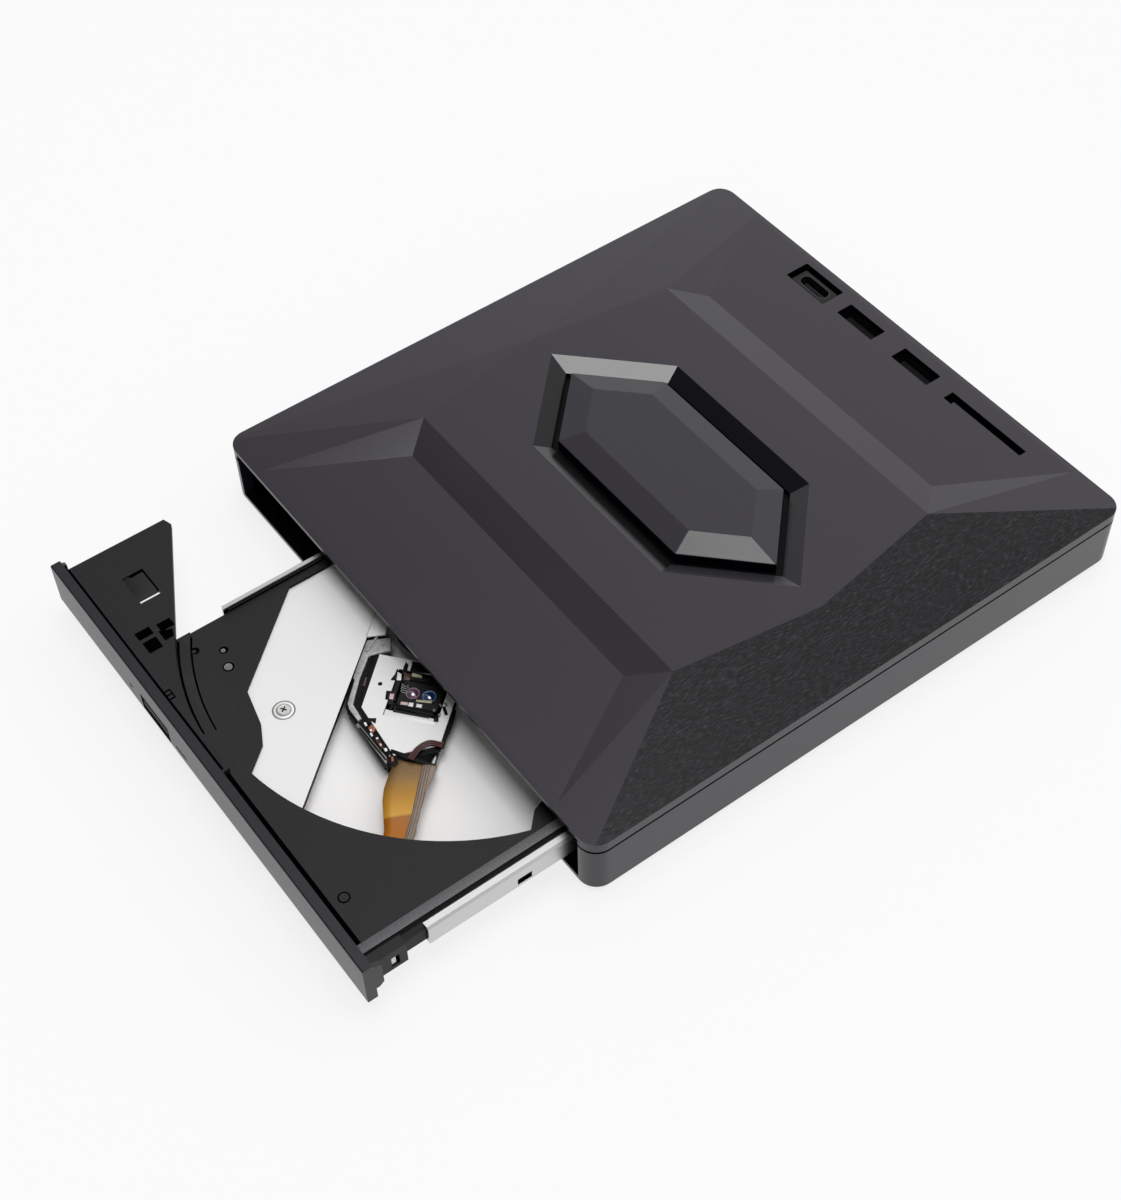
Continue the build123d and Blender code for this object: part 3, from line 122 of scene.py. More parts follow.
room = bpy.data.worlds.new("room")
bpy.context.scene.world = room
room.use_nodes = True
sky = Wire(room.node_tree)
height = sky.node("SeparateXYZ", inputs={0: sky.node("TexCoord")}, output=2)
behind = Wire(sky.tree, height.socket.node.outputs["Y"])
back_wall = sky.node("MapRange", {"interpolation_type": "SMOOTHSTEP"},
                     {"Value": behind, "From Min": -0.35, "From Max": 0.75, "To Min": 0.12, "To Max": 1.25})
ceiling = sky.node("MapRange", {"interpolation_type": "SMOOTHSTEP"},
                   {"Value": height, "From Min": 0.80, "From Max": 0.96, "To Min": 1.0, "To Max": 0.5})
level = back_wall * ceiling
room.node_tree.links.new(level.socket, room.node_tree.nodes["Background"].inputs["Strength"])
room.node_tree.nodes["Background"].inputs["Color"].default_value = (1, 1, 1, 1)


def lamp(name, place, aim, size, watts):
    """A square soft lamp at a place, turned to a point."""
    light = bpy.data.lights.new(name, "AREA")
    light.shape = "SQUARE"
    light.size = size
    light.energy = watts
    holder = bpy.data.objects.new(name, light)
    holder.location = place
    holder.rotation_euler = (Vector(place) - Vector(aim)).to_track_quat("Z", "Y").to_euler()
    bpy.context.scene.collection.objects.link(holder)


lamp("overhead", (0.0, 0.0, 1.4), (0, 0, 0), 0.8, 10.0)
lamp("behind_camera", (1.3, -1.1, 1.0), (0, 0, 0), 0.9, 2.0)


# Base shell and cover: injection-moulded in dark grey plastic with a fine semi-gloss texture. The cover is held
# by screws from below, and a dark seam shows between the two, where the faces inside the case get painted shade.
def finish(name, color, roughness, metallic=0.0, **more):
    """A material with plain values on its shader, and the wire that its nodes start from."""
    made = bpy.data.materials.new(name)
    made.use_nodes = True
    shader = made.node_tree.nodes["Principled BSDF"]
    shader.inputs["Base Color"].default_value = (*color, 1)
    shader.inputs["Roughness"].default_value = roughness
    shader.inputs["Metallic"].default_value = metallic
    for socket, value in more.items():
        shader.inputs[socket.replace("_", " ")].default_value = value
    return made, Wire(made.node_tree)


def attach(made, socket, wire):
    """Feeds a shader's socket from a wire."""
    made.node_tree.links.new(wire.socket, made.node_tree.nodes["Principled BSDF"].inputs[socket])


def spots(wire, scale, detail=2.0, stretch=(1, 1, 1), output=0):
    """Noise on the piece's own coordinates, at so many cells to the metre."""
    place = wire.node("TexCoord", output=3)
    place = wire.node("Mapping", inputs={"Vector": place, "Scale": stretch})
    return wire.node("TexNoise", inputs={"Vector": place, "Scale": scale, "Detail": detail}, output=output)


def tinted(wire, factor, dark, light):
    """A colour that goes from one to the other."""
    return wire.node("Mix", {"data_type": "RGBA"}, {"Factor": factor, 6: (*dark, 1), 7: (*light, 1)}, output=2)


def bumped(made, wire, relief, strength, distance):
    attach(made, "Normal", wire.node("Bump", inputs={"Height": relief, "Strength": strength, "Distance": distance}))


shell_finish, shell = finish("shell_plastic", (0.014, 0.01, 0.018), 0.3, Specular_IOR_Level=0.5)
grain = spots(shell, 5200)
cloud = spots(shell, 26)
attach(shell_finish, "Roughness", 0.24 + grain * 0.05 + cloud * 0.04)
attach(shell_finish, "Base Color", tinted(shell, cloud, (0.012, 0.009, 0.016), (0.016, 0.011, 0.020)))
bumped(shell_finish, shell, grain, 0.12, 0.00004)

brushed_finish, brushed = finish("brushed_facet", (0.012, 0.01, 0.014), 0.3, Specular_IOR_Level=0.22)
turned = brushed.node("Mapping", inputs={"Vector": brushed.node("TexCoord", output=3), "Rotation": (0, 0, radians(4)),
                                         "Scale": (8.0, 1.0, 1.0)})
strokes = brushed.node("TexNoise", inputs={"Vector": turned, "Scale": 620, "Detail": 4.0})
lit = brushed.node("ValToRGB", {"stops": [(0.40, (0.0012, 0.0012, 0.0018)), (0.55, (0.009, 0.008, 0.011)),
                                          (0.70, (0.040, 0.036, 0.044))]}, {0: strokes})
attach(brushed_finish, "Base Color", lit)
attach(brushed_finish, "Roughness", 0.22 + strokes * 0.25)
bumped(brushed_finish, brushed, strokes, 0.7, 0.00012)


# Facets of the hexagon's ring, one glossy moulding: one gets a lighter copy as painted highlight, two a darker copy
# as painted shade, two a lighter copy as painted light, and the rest are glossy black.
painted_highlight_facet_finish, painted_highlight_facet_wire = finish("painted_highlight_facet", (0.02, 0.019, 0.021), 0.12, Specular_IOR_Level=0.8)
highlight_facet_cloud = spots(painted_highlight_facet_wire, 60)
attach(painted_highlight_facet_finish, "Roughness", 0.06 + highlight_facet_cloud * 0.16)
bumped(painted_highlight_facet_finish, painted_highlight_facet_wire, highlight_facet_cloud, 0.2, 0.001)
ring_finish, ring = finish("ring_gloss", (0.008, 0.0075, 0.009), 0.14, Specular_IOR_Level=0.42)
ring_grain = spots(ring, 2600)
attach(ring_finish, "Roughness", 0.12 + ring_grain * 0.1)
bumped(ring_finish, ring, ring_grain, 0.1, 0.00003)
painted_shade_facet_finish, painted_shade_facet_wire = finish("ring_painted_shade", (0.006, 0.0055, 0.007), 0.16, Specular_IOR_Level=0.2)
attach(painted_shade_facet_finish, "Roughness", 0.12 + spots(painted_shade_facet_wire, 2600) * 0.1)
painted_light_facet_finish, painted_light_facet_wire = finish("ring_painted_light", (0.026, 0.024, 0.028), 0.2, Specular_IOR_Level=0.42)
attach(painted_light_facet_finish, "Roughness", 0.16 + spots(painted_light_facet_wire, 2600) * 0.1)

# The walls of every recess get a near-black colour as painted shade.
painted_shade_finish, painted_shade_wire = finish("painted_recess_shade", (0.0015, 0.0014, 0.002), 0.5, Specular_IOR_Level=0.08)
attach(painted_shade_finish, "Roughness", 0.45 + spots(painted_shade_wire, 900) * 0.1)


def softened(node, body, finishes, width=0.00022, turn=24):
    """A CAD solid's copy with its sharp edges rounded as a mould or a press leaves them."""
    shape = bmesh.new()
    shape.from_mesh(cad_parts[node].data)
    bmesh.ops.remove_doubles(shape, verts=shape.verts, dist=1e-6)
    bmesh.ops.dissolve_limit(shape, angle_limit=radians(0.8), verts=shape.verts, edges=shape.edges)
    piece = bpy.data.objects.new(node + "_piece", bpy.data.meshes.new(node + "_piece"))
    shape.to_mesh(piece.data)
    shape.free()
    bpy.context.scene.collection.objects.link(piece)
    for made in finishes:
        piece.data.materials.append(made)
    if width:
        edge = piece.modifiers.new("soft_edges", "BEVEL")
        edge.width = width
        edge.segments = 2
        edge.limit_method = "ANGLE"
        edge.angle_limit = radians(turn)
        edge.harden_normals = True
    for face in piece.data.polygons:
        face.use_smooth = True
    piece.data.set_sharp_from_angle(angle=radians(turn))
    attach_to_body(piece, body)
    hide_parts(node)
    return piece


# The cover's own faces are told apart by where they lie and which way they point, measured in metres from the
# middle of the case: first the hexagon's ring, whose facets get painted highlight, painted light and painted shade
# by the way they point, then the brushed right facet, then the walls of what is sunk, the undersides and the floor
# of the insert's seat, which get painted shade.
cover = softened("top_cover", "case", [shell_finish, brushed_finish, ring_finish, painted_shade_finish,
                                                    painted_highlight_facet_finish, painted_shade_facet_finish, painted_light_facet_finish], 0.0002, 4)
for face in cover.data.polygons:
    middle = face.center
    along, across = abs(middle.x), abs(middle.y - 0.001)
    if across < 0.0213 and along < 0.0456 - across * (21.6 / 21.3) and 0.3 < face.normal.z < 0.98:
        right, rear = face.normal.x, face.normal.y
        if right > 0.12 and rear < -0.1:
            face.material_index = 4
        elif right < -0.12:
            face.material_index = 6
        else:
            face.material_index = 5 if right > 0.12 or rear < -0.12 else 2
    elif middle.x > 0.0535 and face.normal.z > 0.9 and abs(face.normal.x) > 0.05:
        face.material_index = 1
    elif (face.normal.z < 0.3 and along < 0.0692 and abs(middle.y) < 0.0732) or face.normal.z < -0.5:
        face.material_index = 3
    elif across < 0.018 and along < 0.04 and middle.z < 0.017:
        face.material_index = 3
base = softened("base_shell", "case", [shell_finish, painted_shade_finish])
# Faces inside the case get the near-black of painted shade.
for face in base.data.polygons:
    if abs(face.center.x) < 0.0692 and abs(face.center.y) < 0.0732 and face.center.z > 0.0015:
        face.material_index = 1

# Insert in the cover's hexagon: moulded by itself, polished, and glued into its seat. Its walls get a near-black
# colour as painted shade, and its front-right facet a lighter copy as painted highlight.
gem_finish, gem = finish("polished_insert", (0.036, 0.033, 0.04), 0.2, Specular_IOR_Level=0.25)
gem_grain = spots(gem, 1800)
attach(gem_finish, "Roughness", 0.16 + gem_grain * 0.08)
painted_shade_wall_finish, painted_shade_wall_wire = finish("insert_wall_painted_shade", (0.002, 0.002, 0.006), 0.15, Specular_IOR_Level=0.3)
attach(painted_shade_wall_finish, "Roughness", 0.1 + spots(painted_shade_wall_wire, 400) * 0.15)
painted_highlight_gem_finish, painted_highlight_gem_wire = finish("painted_highlight_insert_facet", (0.03, 0.028, 0.032), 0.15, Specular_IOR_Level=0.42)
gem_cloud = spots(painted_highlight_gem_wire, 70)
attach(painted_highlight_gem_finish, "Roughness", 0.08 + gem_cloud * 0.2)
bumped(painted_highlight_gem_finish, painted_highlight_gem_wire, gem_cloud, 0.3, 0.001)
insert = softened("gem_insert", "case", [gem_finish, painted_shade_wall_finish, painted_highlight_gem_finish], 0.0002, 8)
for face in insert.data.polygons:
    if abs(face.normal.z) < 0.3:
        face.material_index = 1
    elif face.normal.x > 0.12 and face.normal.y < -0.1:
        face.material_index = 2


def dressed(nodes, made):
    """Gives CAD solids their finish."""
    for node in nodes:
        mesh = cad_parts[node].data
        mesh.materials.clear()
        mesh.materials.append(made)


# Feet: black rubber pads, glued into shallow pockets in the base's underside. The disc's seat on the turntable
# is a ring of the same rubber.
rubber_finish, rubber = finish("foot_rubber", (0.02, 0.02, 0.02), 0.8)
bumped(rubber_finish, rubber, spots(rubber, 3000), 0.3, 0.00005)
dressed(["feet", "disc_seat"], rubber_finish)

# Screws, guide rods and the lead screw: turned steel, plated. The screws go up through the base, and the rods
# are held by clamps at both ends.
steel_finish, steel = finish("turned_steel", (0.55, 0.55, 0.56), 0.28, 1.0)
attach(steel_finish, "Roughness", 0.2 + spots(steel, 900) * 0.15)
dressed(["case_screws", "drive_screws", "guide_rods", "lead_screw", "plate_screw"], steel_finish)

# Drive chassis, its guides and the motor cans: zinc-plated sheet, pressed and folded, which shows only in the
# tray's mouth and under the disc.
sheet_finish, sheet = finish("plated_sheet", (0.5, 0.5, 0.5), 0.35, 1.0)
attach(sheet_finish, "Roughness", 0.28 + spots(sheet, 120, 4.0) * 0.16)
dressed(["drive_pan", "drive_lid", "guide_right", "guide_left", "sled_motor", "spindle_base"], sheet_finish)

# Circuit boards: green solder mask on glass fibre, screwed into the base. Their chips and sockets are moulded
# in black, as are the turntable, its claws and the lens holder.
board_finish, board = finish("solder_mask", (0.01, 0.07, 0.03), 0.3)
attach(board_finish, "Base Color", tinted(board, spots(board, 700), (0.006, 0.05, 0.02), (0.015, 0.09, 0.04)))
dressed(["hub_board", "drive_board", "front_board"], board_finish)
chip_finish, chip = finish("moulded_black", (0.008, 0.008, 0.009), 0.5, Specular_IOR_Level=0.2)
bumped(chip_finish, chip, spots(chip, 4000), 0.2, 0.00003)
dressed(["hub_chip", "drive_chips", "eject_switch", "drive_socket", "drive_plug", "usb_a_tongue_1", "usb_a_tongue_2",
         "usb_c_tongue", "usb_c_block", "card_socket", "turntable", "hub_claws", "lens_holder", "actuator_yoke",
         "side_catch"], chip_finish)

# Sockets: stamped sheet shells, soldered on the hub's board, which stand just under the cover's openings. Their
# sheet gets a near-black colour as painted shade, as they look dark inside them.
painted_shade_socket_finish, socket = finish("socket_shell_painted_shade", (0.03, 0.03, 0.033), 0.35, 0.6)
attach(painted_shade_socket_finish, "Roughness", 0.3 + spots(socket, 800) * 0.1)
dressed(["usb_a_shell_1", "usb_a_shell_2", "usb_c_shell"], painted_shade_socket_finish)

# Tray: one black moulding with a fine spark-eroded grain. The walls round the disc, and what lies deep beside
# the right rail, get the near-black colour of painted shade.
tray_finish, tray = finish("tray_plastic", (0.010, 0.0095, 0.0115), 0.45, Specular_IOR_Level=0.25)
tray_grain = spots(tray, 3200, 3.0)
attach(tray_finish, "Base Color", tinted(tray, tray_grain, (0.004, 0.0038, 0.005), (0.016, 0.0152, 0.018)))
attach(tray_finish, "Roughness", 0.38 + tray_grain * 0.2)
bumped(tray_finish, tray, tray_grain, 0.4, 0.00008)
frame_copy = softened("tray_frame", "tray", [tray_finish, painted_shade_finish], 0.00012)
for face in frame_copy.data.polygons:
    from_axis = sqrt((face.center.x - 0.0013) ** 2 + (face.center.y + 0.0595) ** 2)
    if abs(face.normal.z) < 0.5 and from_axis < 0.0622:
        face.material_index = 1
    elif face.center.x > 0.0594 and face.center.y > -0.112 and face.center.z < 0.0117:
        face.material_index = 1

# Bezel: a smooth dark grey moulding, clipped to the tray's front. Behind it sits a small lamp in milky plastic.
bezel_finish, bezel = finish("bezel_plastic", (0.014, 0.012, 0.017), 0.32, Specular_IOR_Level=0.35)
bezel_grain = spots(bezel, 2500)
attach(bezel_finish, "Roughness", 0.28 + bezel_grain * 0.1)
bumped(bezel_finish, bezel, bezel_grain, 0.12, 0.00004)
softened("bezel", "tray", [bezel_finish], 0.0002)
clear_finish, clear = finish("milky_clear", (0.3, 0.32, 0.33), 0.25)
attach(clear_finish, "Roughness", 0.2 + spots(clear, 900) * 0.1)
dressed(["lamp"], clear_finish)

# Bright plates: nearly white pressed sheet with a soft sheen. The floor under the pickup lies deeper and gets a
# whiter copy of the sheet as painted light, and the cover plate is screwed on the tray, with its cut edges in
# painted shade.
plate_finish, plate = finish("bright_plate", (0.84, 0.83, 0.83), 0.4, 0.1)
plate_cloud = spots(plate, 60, 3.0)
attach(plate_finish, "Roughness", 0.34 + plate_cloud * 0.1)
belly_painted_light_finish, under = finish("belly_sheet_painted_light", (0.94, 0.93, 0.925), 0.34)
attach(belly_painted_light_finish, "Roughness", 0.3 + spots(under, 60, 3.0) * 0.1)
dressed(["belly_plate"], belly_painted_light_finish)
raised = softened("cover_plate", "tray", [plate_finish, painted_shade_finish], 0.00008)
for face in raised.data.polygons:
    if abs(face.normal.z) < 0.5:
        face.material_index = 1

# Rails: bright steel channels, rolled from strip, with fine lines along their length. They run in the guides on
# both sides of the chassis.
rail_finish, rail = finish("rolled_steel", (0.6, 0.6, 0.6), 0.3, 1.0)
rail_lines = spots(rail, 300, 3.0, (8.0, 0.3, 8.0))
attach(rail_finish, "Roughness", 0.24 + rail_lines * 0.2)
dressed(["rail_right", "rail_left"], rail_finish)

# Pickup: a black moulded sled that slides on two rods, with its nut on the lead screw. A pressed white cover is
# clipped over it.
sled_finish, sled = finish("sled_plastic", (0.004, 0.0038, 0.0045), 0.4, Specular_IOR_Level=0.12)
attach(sled_finish, "Roughness", 0.35 + spots(sled, 1500) * 0.15)
dressed(["sled_base", "sled_nut", "rod_clamps"], sled_finish)


def on_sled(u, v, z):
    """A point in millimetres out along the pickup's travel from the disc's axis, across it, and up."""
    return Vector((1.3 + 0.6428 * u + 0.7660 * v, -59.5 - 0.7660 * u + 0.6428 * v, z)) / 1000


def slab(shape, outline, low, high, edge=0.06, place=on_sled, made=0):
    """Adds a flat plate with this outline to a mesh, its upper edges rounded."""
    bottom = shape.faces.new([shape.verts.new(place(u, v, low)) for u, v in outline])
    bottom.material_index = made
    raised = bmesh.ops.extrude_face_region(shape, geom=[bottom])["geom"]
    corners = [part for part in raised if isinstance(part, bmesh.types.BMVert)]
    bmesh.ops.translate(shape, verts=corners, vec=(0, 0, (high - low) / 1000))
    for face in {face for corner in corners for face in corner.link_faces}:
        face.material_index = made
    upper = {line for corner in corners for line in corner.link_edges if line.other_vert(corner) in corners}
    if edge:
        bmesh.ops.bevel(shape, geom=list(upper), offset=edge / 1000, offset_type="OFFSET", segments=2, profile=0.5,
                        affect="EDGES", material=-1, clamp_overlap=True)


def bar(shape, u, v, long, wide, low, high, turn=0.0, edge=0.06, place=on_sled, made=0):
    """Adds a rectangular block, turned by so many degrees about its own middle."""
    across, along = Vector((cos(radians(turn)), sin(radians(turn)))), Vector((-sin(radians(turn)), cos(radians(turn))))
    ends = [across * (long * i / 2) + along * (wide * j / 2) for i, j in ((-1, -1), (1, -1), (1, 1), (-1, 1))]
    slab(shape, [(u + end.x, v + end.y) for end in ends], low, high, edge, place, made)


def placed(name, shape, body, slot, *finishes, turn=35):
    """Makes an object of a finished mesh and lets it ride on its body."""
    bmesh.ops.recalc_face_normals(shape, faces=shape.faces)
    piece = bpy.data.objects.new(name, bpy.data.meshes.new(name))
    shape.to_mesh(piece.data)
    shape.free()
    bpy.context.scene.collection.objects.link(piece)
    for made in finishes:
        piece.data.materials.append(made)
    for face in piece.data.polygons:
        face.use_smooth = True
    piece.data.set_sharp_from_angle(angle=radians(turn))
    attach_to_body(piece, body)
    return piece


def speckled(name, dark, light, scale, roughness, metallic=0.0):
    """A finish whose colour and sheen change a little over the surface."""
    made, wire = finish(name, light, roughness, metallic)
    cells = spots(wire, scale)
    attach(made, "Base Color", tinted(wire, cells, dark, light))
    attach(made, "Roughness", roughness - 0.05 + cells * 0.1)
    return made


# Rim of the pickup: one bent grey sheet along its long side, clipped over the moulding. Two low ridges are
# pressed in it.
rim_finish = speckled("rim_sheet", (0.2, 0.198, 0.2), (0.62, 0.615, 0.61), 1100, 0.35, 0.1)
rim = bmesh.new()
slab(rim, [(9.8, -18.2), (13.4, -18.4), (20.4, -17.9), (20.6, -17.5), (27.1, -17.1), (28.5, -16.3), (31.0, -13.6),
           (30.2, -13.0), (28.4, -14.6), (27.1, -15.9), (20.4, -16.5), (14.0, -16.4), (12.8, -14.9), (11.3, -12.1),
           (7.9, -13.2)], 8.95, 9.75, 0.12)
bar(rim, 10.6, -16.6, 4.4, 0.5, 9.75, 10.05, -14, 0.08)
bar(rim, 16.6, -17.1, 4.6, 0.45, 9.75, 9.9, 2, 0.06)
placed("pickup_rim", rim, "sled", "sled_plastic", rim_finish)

# Black strips along the pickup's outline, laid in as painted shade, that show as thin dark lines in its gaps
# and steps. This black also serves the real black parts.
black_finish = speckled("black_parts_and_painted_shade", (0.0015, 0.0015, 0.0015), (0.006, 0.005, 0.006), 1400, 0.45)
black_finish.node_tree.nodes["Principled BSDF"].inputs["Specular IOR Level"].default_value = 0.12
edges = bmesh.new()
slab(edges, [(9.2, -18.9), (13.5, -19.0), (20.6, -18.4), (27.4, -17.6), (29.0, -16.7), (41.2, -4.6), (40.9, -4.3),
             (28.6, -16.2), (27.2, -17.1), (20.5, -17.9), (13.4, -18.4), (9.4, -18.4)], 8.5, 9.3, 0)
slab(edges, [(23.4, 5.4), (23.6, 6.1), (33.5, 6.0), (33.8, 5.3)], 8.9, 9.5, 0.08)
slab(edges, [(36.4, -4.6), (37.0, -0.8), (38.2, 5.9), (38.9, 6.0), (38.2, -0.9), (37.4, -4.5)], 9.2, 9.75, 0.08)
bar(edges, 16.2, -15.6, 8.6, 0.5, 9.3, 9.6, 3, 0.05)
bar(edges, 25.3, -15.0, 5.0, 0.5, 9.3, 9.55, 6, 0.05)
placed("pickup_painted_shade_strips", edges, "sled", "sled_plastic", black_finish)

# Layers and small parts on the pickup's slanted side: strips of sheet clipped one on the other, a chip, solder
# pads and a coil on copper film.
copper_finish = speckled("copper_flex", (0.16, 0.035, 0.012), (0.42, 0.13, 0.06), 2200, 0.35)
grey_finish = speckled("grey_layers", (0.05, 0.05, 0.05), (0.3, 0.3, 0.3), 1600, 0.4, 0.3)
pads = bmesh.new()
slab(pads, [(31.3, -13.5), (32.0, -13.8), (40.2, -4.6), (39.2, -4.2)], 9.0, 9.45, 0.05, made=1)
slab(pads, [(32.4, -12.6), (32.7, -12.9), (39.4, -5.0), (39.1, -4.8)], 9.45, 9.6, 0.03, made=2)
slab(pads, [(30.0, -12.3), (29.5, -9.9), (30.9, -9.7), (30.5, -10.7), (31.3, -11.3)], 9.65, 9.8, 0.03, made=2)
slab(pads, [(32.5, -10.9), (31.4, -10.4), (32.2, -9.1), (33.5, -9.5)], 9.65, 9.95, 0.05, made=0)
for place_u, place_v, long, wide in ((31.6, -11.7, 1.0, 0.5), (32.9, -10.1, 0.5, 0.5), (33.9, -9.7, 0.9, 0.45),
                                     (34.6, -8.2, 0.5, 0.5), (36.0, -7.0, 0.6, 0.35), (37.0, -5.6, 0.8, 0.6)):
    bar(pads, place_u, place_v, long, wide, 9.7, 10.0, 40, 0.06, made=3)
slab(pads, [(34.3, -8.9), (34.6, -8.1), (36.6, -6.0), (37.2, -6.4), (35.2, -8.7)], 9.6, 9.9, 0.05, made=2)
for step in range(6):
    bar(pads, 34.9 + step * 0.36, -8.2 + step * 0.36, 0.12, 0.7, 9.9, 9.98, 40, 0.02, made=0)
slab(pads, [(37.5, -5.2), (37.2, -3.1), (39.6, -2.2), (40.8, -2.6), (40.0, -4.5)], 8.8, 9.6, 0.1, made=2)
bar(pads, 38.9, -3.6, 1.2, 0.5, 9.6, 9.8, 20, 0.05, made=0)
bar(pads, 38.2, -4.4, 0.5, 0.4, 9.6, 9.75, 20, 0.05, made=1)
placed("pickup_pads", pads, "sled", "bright_plate", copper_finish, grey_finish, black_finish, plate_finish)

# Round the lens unit: its black moulded frame, magnets, tabs and the small parts glued between the frame and
# the holder.
tan_finish = speckled("tan_plate", (0.3, 0.28, 0.17), (0.62, 0.6, 0.45), 1500, 0.35)
brown_finish = speckled("brown_flex", (0.03, 0.012, 0.008), (0.11, 0.05, 0.035), 1800, 0.4)
rose_finish = speckled("rose_pad", (0.45, 0.25, 0.24), (0.75, 0.62, 0.62), 1800, 0.35)
frame_parts = bmesh.new()
slab(frame_parts, [(25.5, -6.5), (26.5, -6.4), (26.7, 1.9), (25.5, 1.8)], 9.7, 10.3, 0.08)
slab(frame_parts, [(22.1, -9.9), (24.3, -9.5), (24.4, -7.1), (21.9, -7.7)], 9.7, 9.9, 0.04)
slab(frame_parts, [(24.6, -7.8), (25.1, -6.8), (26.9, -7.6), (26.7, -8.0)], 9.7, 9.95, 0.03)
slab(frame_parts, [(13.9, -7.9), (14.4, -7.2), (16.4, -7.0), (17.6, -7.7), (15.3, -8.0)], 9.7, 10.1, 0.05)
slab(frame_parts, [(15.9, -9.3), (16.5, -8.7), (18.9, -8.6), (19.1, -9.8), (17.5, -9.3)], 9.7, 10.0, 0.04)
slab(frame_parts, [(13.2, -6.6), (13.4, -2.0), (15.6, -1.6), (15.9, -6.4)], 9.7, 9.85, 0.03)
bar(frame_parts, 26.9, 2.6, 1.4, 1.0, 9.7, 10.1, 15, 0.08)
bar(frame_parts, 24.5, 3.9, 2.2, 0.7, 9.7, 10.0, 30, 0.08)
placed("lens_frame", frame_parts, "sled", "yoke_plastic", black_finish)
trim = bmesh.new()
slab(trim, [(16.9, -8.9), (17.2, -7.9), (18.9, -7.5), (19.1, -8.5)], 9.75, 10.1, 0.06, made=0)
slab(trim, [(26.75, -8.7), (28.4, -8.7), (28.4, 2.9), (26.9, 2.9)], 9.35, 9.68, 0.04, made=0)
bar(trim, 24.75, -3.6, 1.0, 1.05, 10.0, 10.25, 2, 0.06, made=0)
bar(trim, 24.7, -1.8, 0.9, 1.25, 10.0, 10.25, 2, 0.06, made=0)
bar(trim, 24.75, -5.1, 0.8, 1.55, 10.0, 10.2, 3, 0.05, made=1)
bar(trim, 23.45, -8.3, 1.5, 0.95, 9.9, 10.05, 6, 0.05, made=1)
slab(trim, [(16.4, -5.7), (16.7, -3.4), (17.4, -3.3), (17.4, -5.6)], 10.0, 10.2, 0.05, made=2)
slab(trim, [(23.3, -2.8), (22.9, 0.6), (23.5, 0.6), (23.8, -2.8)], 10.1, 10.3, 0.05, made=2)
slab(trim, [(16.7, -7.5), (16.8, -5.9), (18.5, -5.7), (18.8, -7.0)], 9.9, 10.15, 0.06, made=3)
bar(trim, 20.6, -15.2, 2.4, 0.5, 9.3, 9.62, 4, 0.04, made=3)
for place_u, place_v, turn in ((25.0, 1.6, 20), (23.4, 2.6, 50), (25.9, 3.0, 0), (22.9, 3.6, 30)):
    bar(trim, place_u, place_v, 0.75, 0.5, 9.8, 10.15, turn, 0.08, made=4)
placed("lens_trim", trim, "sled", "bright_plate", plate_finish, rose_finish, tan_finish, brown_finish, grey_finish)

# Spring wires of the lens holder: fine bright steel wires, bent into loops beside the pinkish lens and soldered
# at their ends.
springs = bmesh.new()
for shift, rise in ((0.0, 0.0), (0.5, 0.04), (1.0, 0.08), (1.5, 0.12)):
    for step in range(7):
        bend = step * 30
        bar(springs, 19.9 + shift * 1.2 + 0.45 * sin(radians(bend)), -7.0 + shift * 0.25 + step * 0.24, 0.1, 0.3,
            10.15 + rise, 10.22 + rise, -20 + 40 * cos(radians(bend)), 0.02)
placed("spring_wires", springs, "lens", "rod_steel", steel_finish)
softened("sled_cover", "sled", [plate_finish], 0.00006)

# Extension of the cover plate: a tongue of the same bright sheet, tucked over the pickup's inner arms and
# spot-welded to the plate.
extension = bmesh.new()
slab(extension, [(-2.0, -18.3), (9.6, -18.5), (7.9, -14.2), (-1.0, -15.9)], 10.25, 10.6, 0.05)
placed("plate_extension", extension, "tray", "bright_plate", plate_finish)

# Small forms of the tray's moulding: the tongue in the wing's window, the plugs beside it, the low bump on the
# wing's edge, marks and locating studs, the seams behind the bezel, and the grained strip along the right edge.
# The dark pits beside the window, the black outline of its tongue, the dark rings round the holes and a stud, and
# the arcs round the disc are black slabs laid in as painted shade.


def on_case(x, y, z):
    """A point in millimetres in the drive's own frame."""
    return Vector((x, y, z)) / 1000


def disc(shape, x, y, radius, low, high, made=0, shrink=0.94):
    """Adds a round button whose top is a little smaller."""
    spot = Matrix.Translation(on_case(x, y, (low + high) / 2))
    rim = bmesh.ops.create_cone(shape, cap_ends=True, segments=40, radius1=radius / 1000,
                                radius2=radius * shrink / 1000, depth=(high - low) / 1000, matrix=spot)["verts"]
    for face in {face for corner in rim for face in corner.link_faces}:
        face.material_index = made


strip_finish = speckled("grained_strip", (0.03, 0.029, 0.032), (0.16, 0.155, 0.165), 2600, 0.5)
deck_top, wing_top, recess_top = 11.9, 13.3, 11.4
small = bmesh.new()
for x, y, long in ((-40.3, -118.2, 4.2), (-35.4, -112.6, 4.2), (-37.6, -121.2, 4.2), (-33.4, -115.4, 2.2)):
    bar(small, x, y, long, 2.0, 12.4, wing_top + 0.01, 0, 0.0, on_case)
slab(small, [(-51.65, -114.05), (-43.6, -114.05), (-43.6, -108.9), (-51.65, -108.9)], 12.85, 13.1, 0.1, on_case)
bar(small, -48.0, -108.95, 8.4, 0.4, 13.1, 13.14, 0, 0.0, on_case, 1)
bar(small, -51.2, -110.6, 0.7, 3.4, 13.1, 13.14, 0, 0.0, on_case, 1)
disc(small, -59.25, -115.5, 2.65, 11.7, 12.8)
disc(small, 46.8, -118.3, 1.05, deck_top, deck_top + 0.06)
disc(small, -25.3, -110.9, 0.5, recess_top, recess_top + 0.12)
slab(small, [(57.5, -122.3), (59.7, -122.3), (59.7, -4.4), (57.5, -4.4)], 11.85, 11.98, 0.03, on_case, 2)
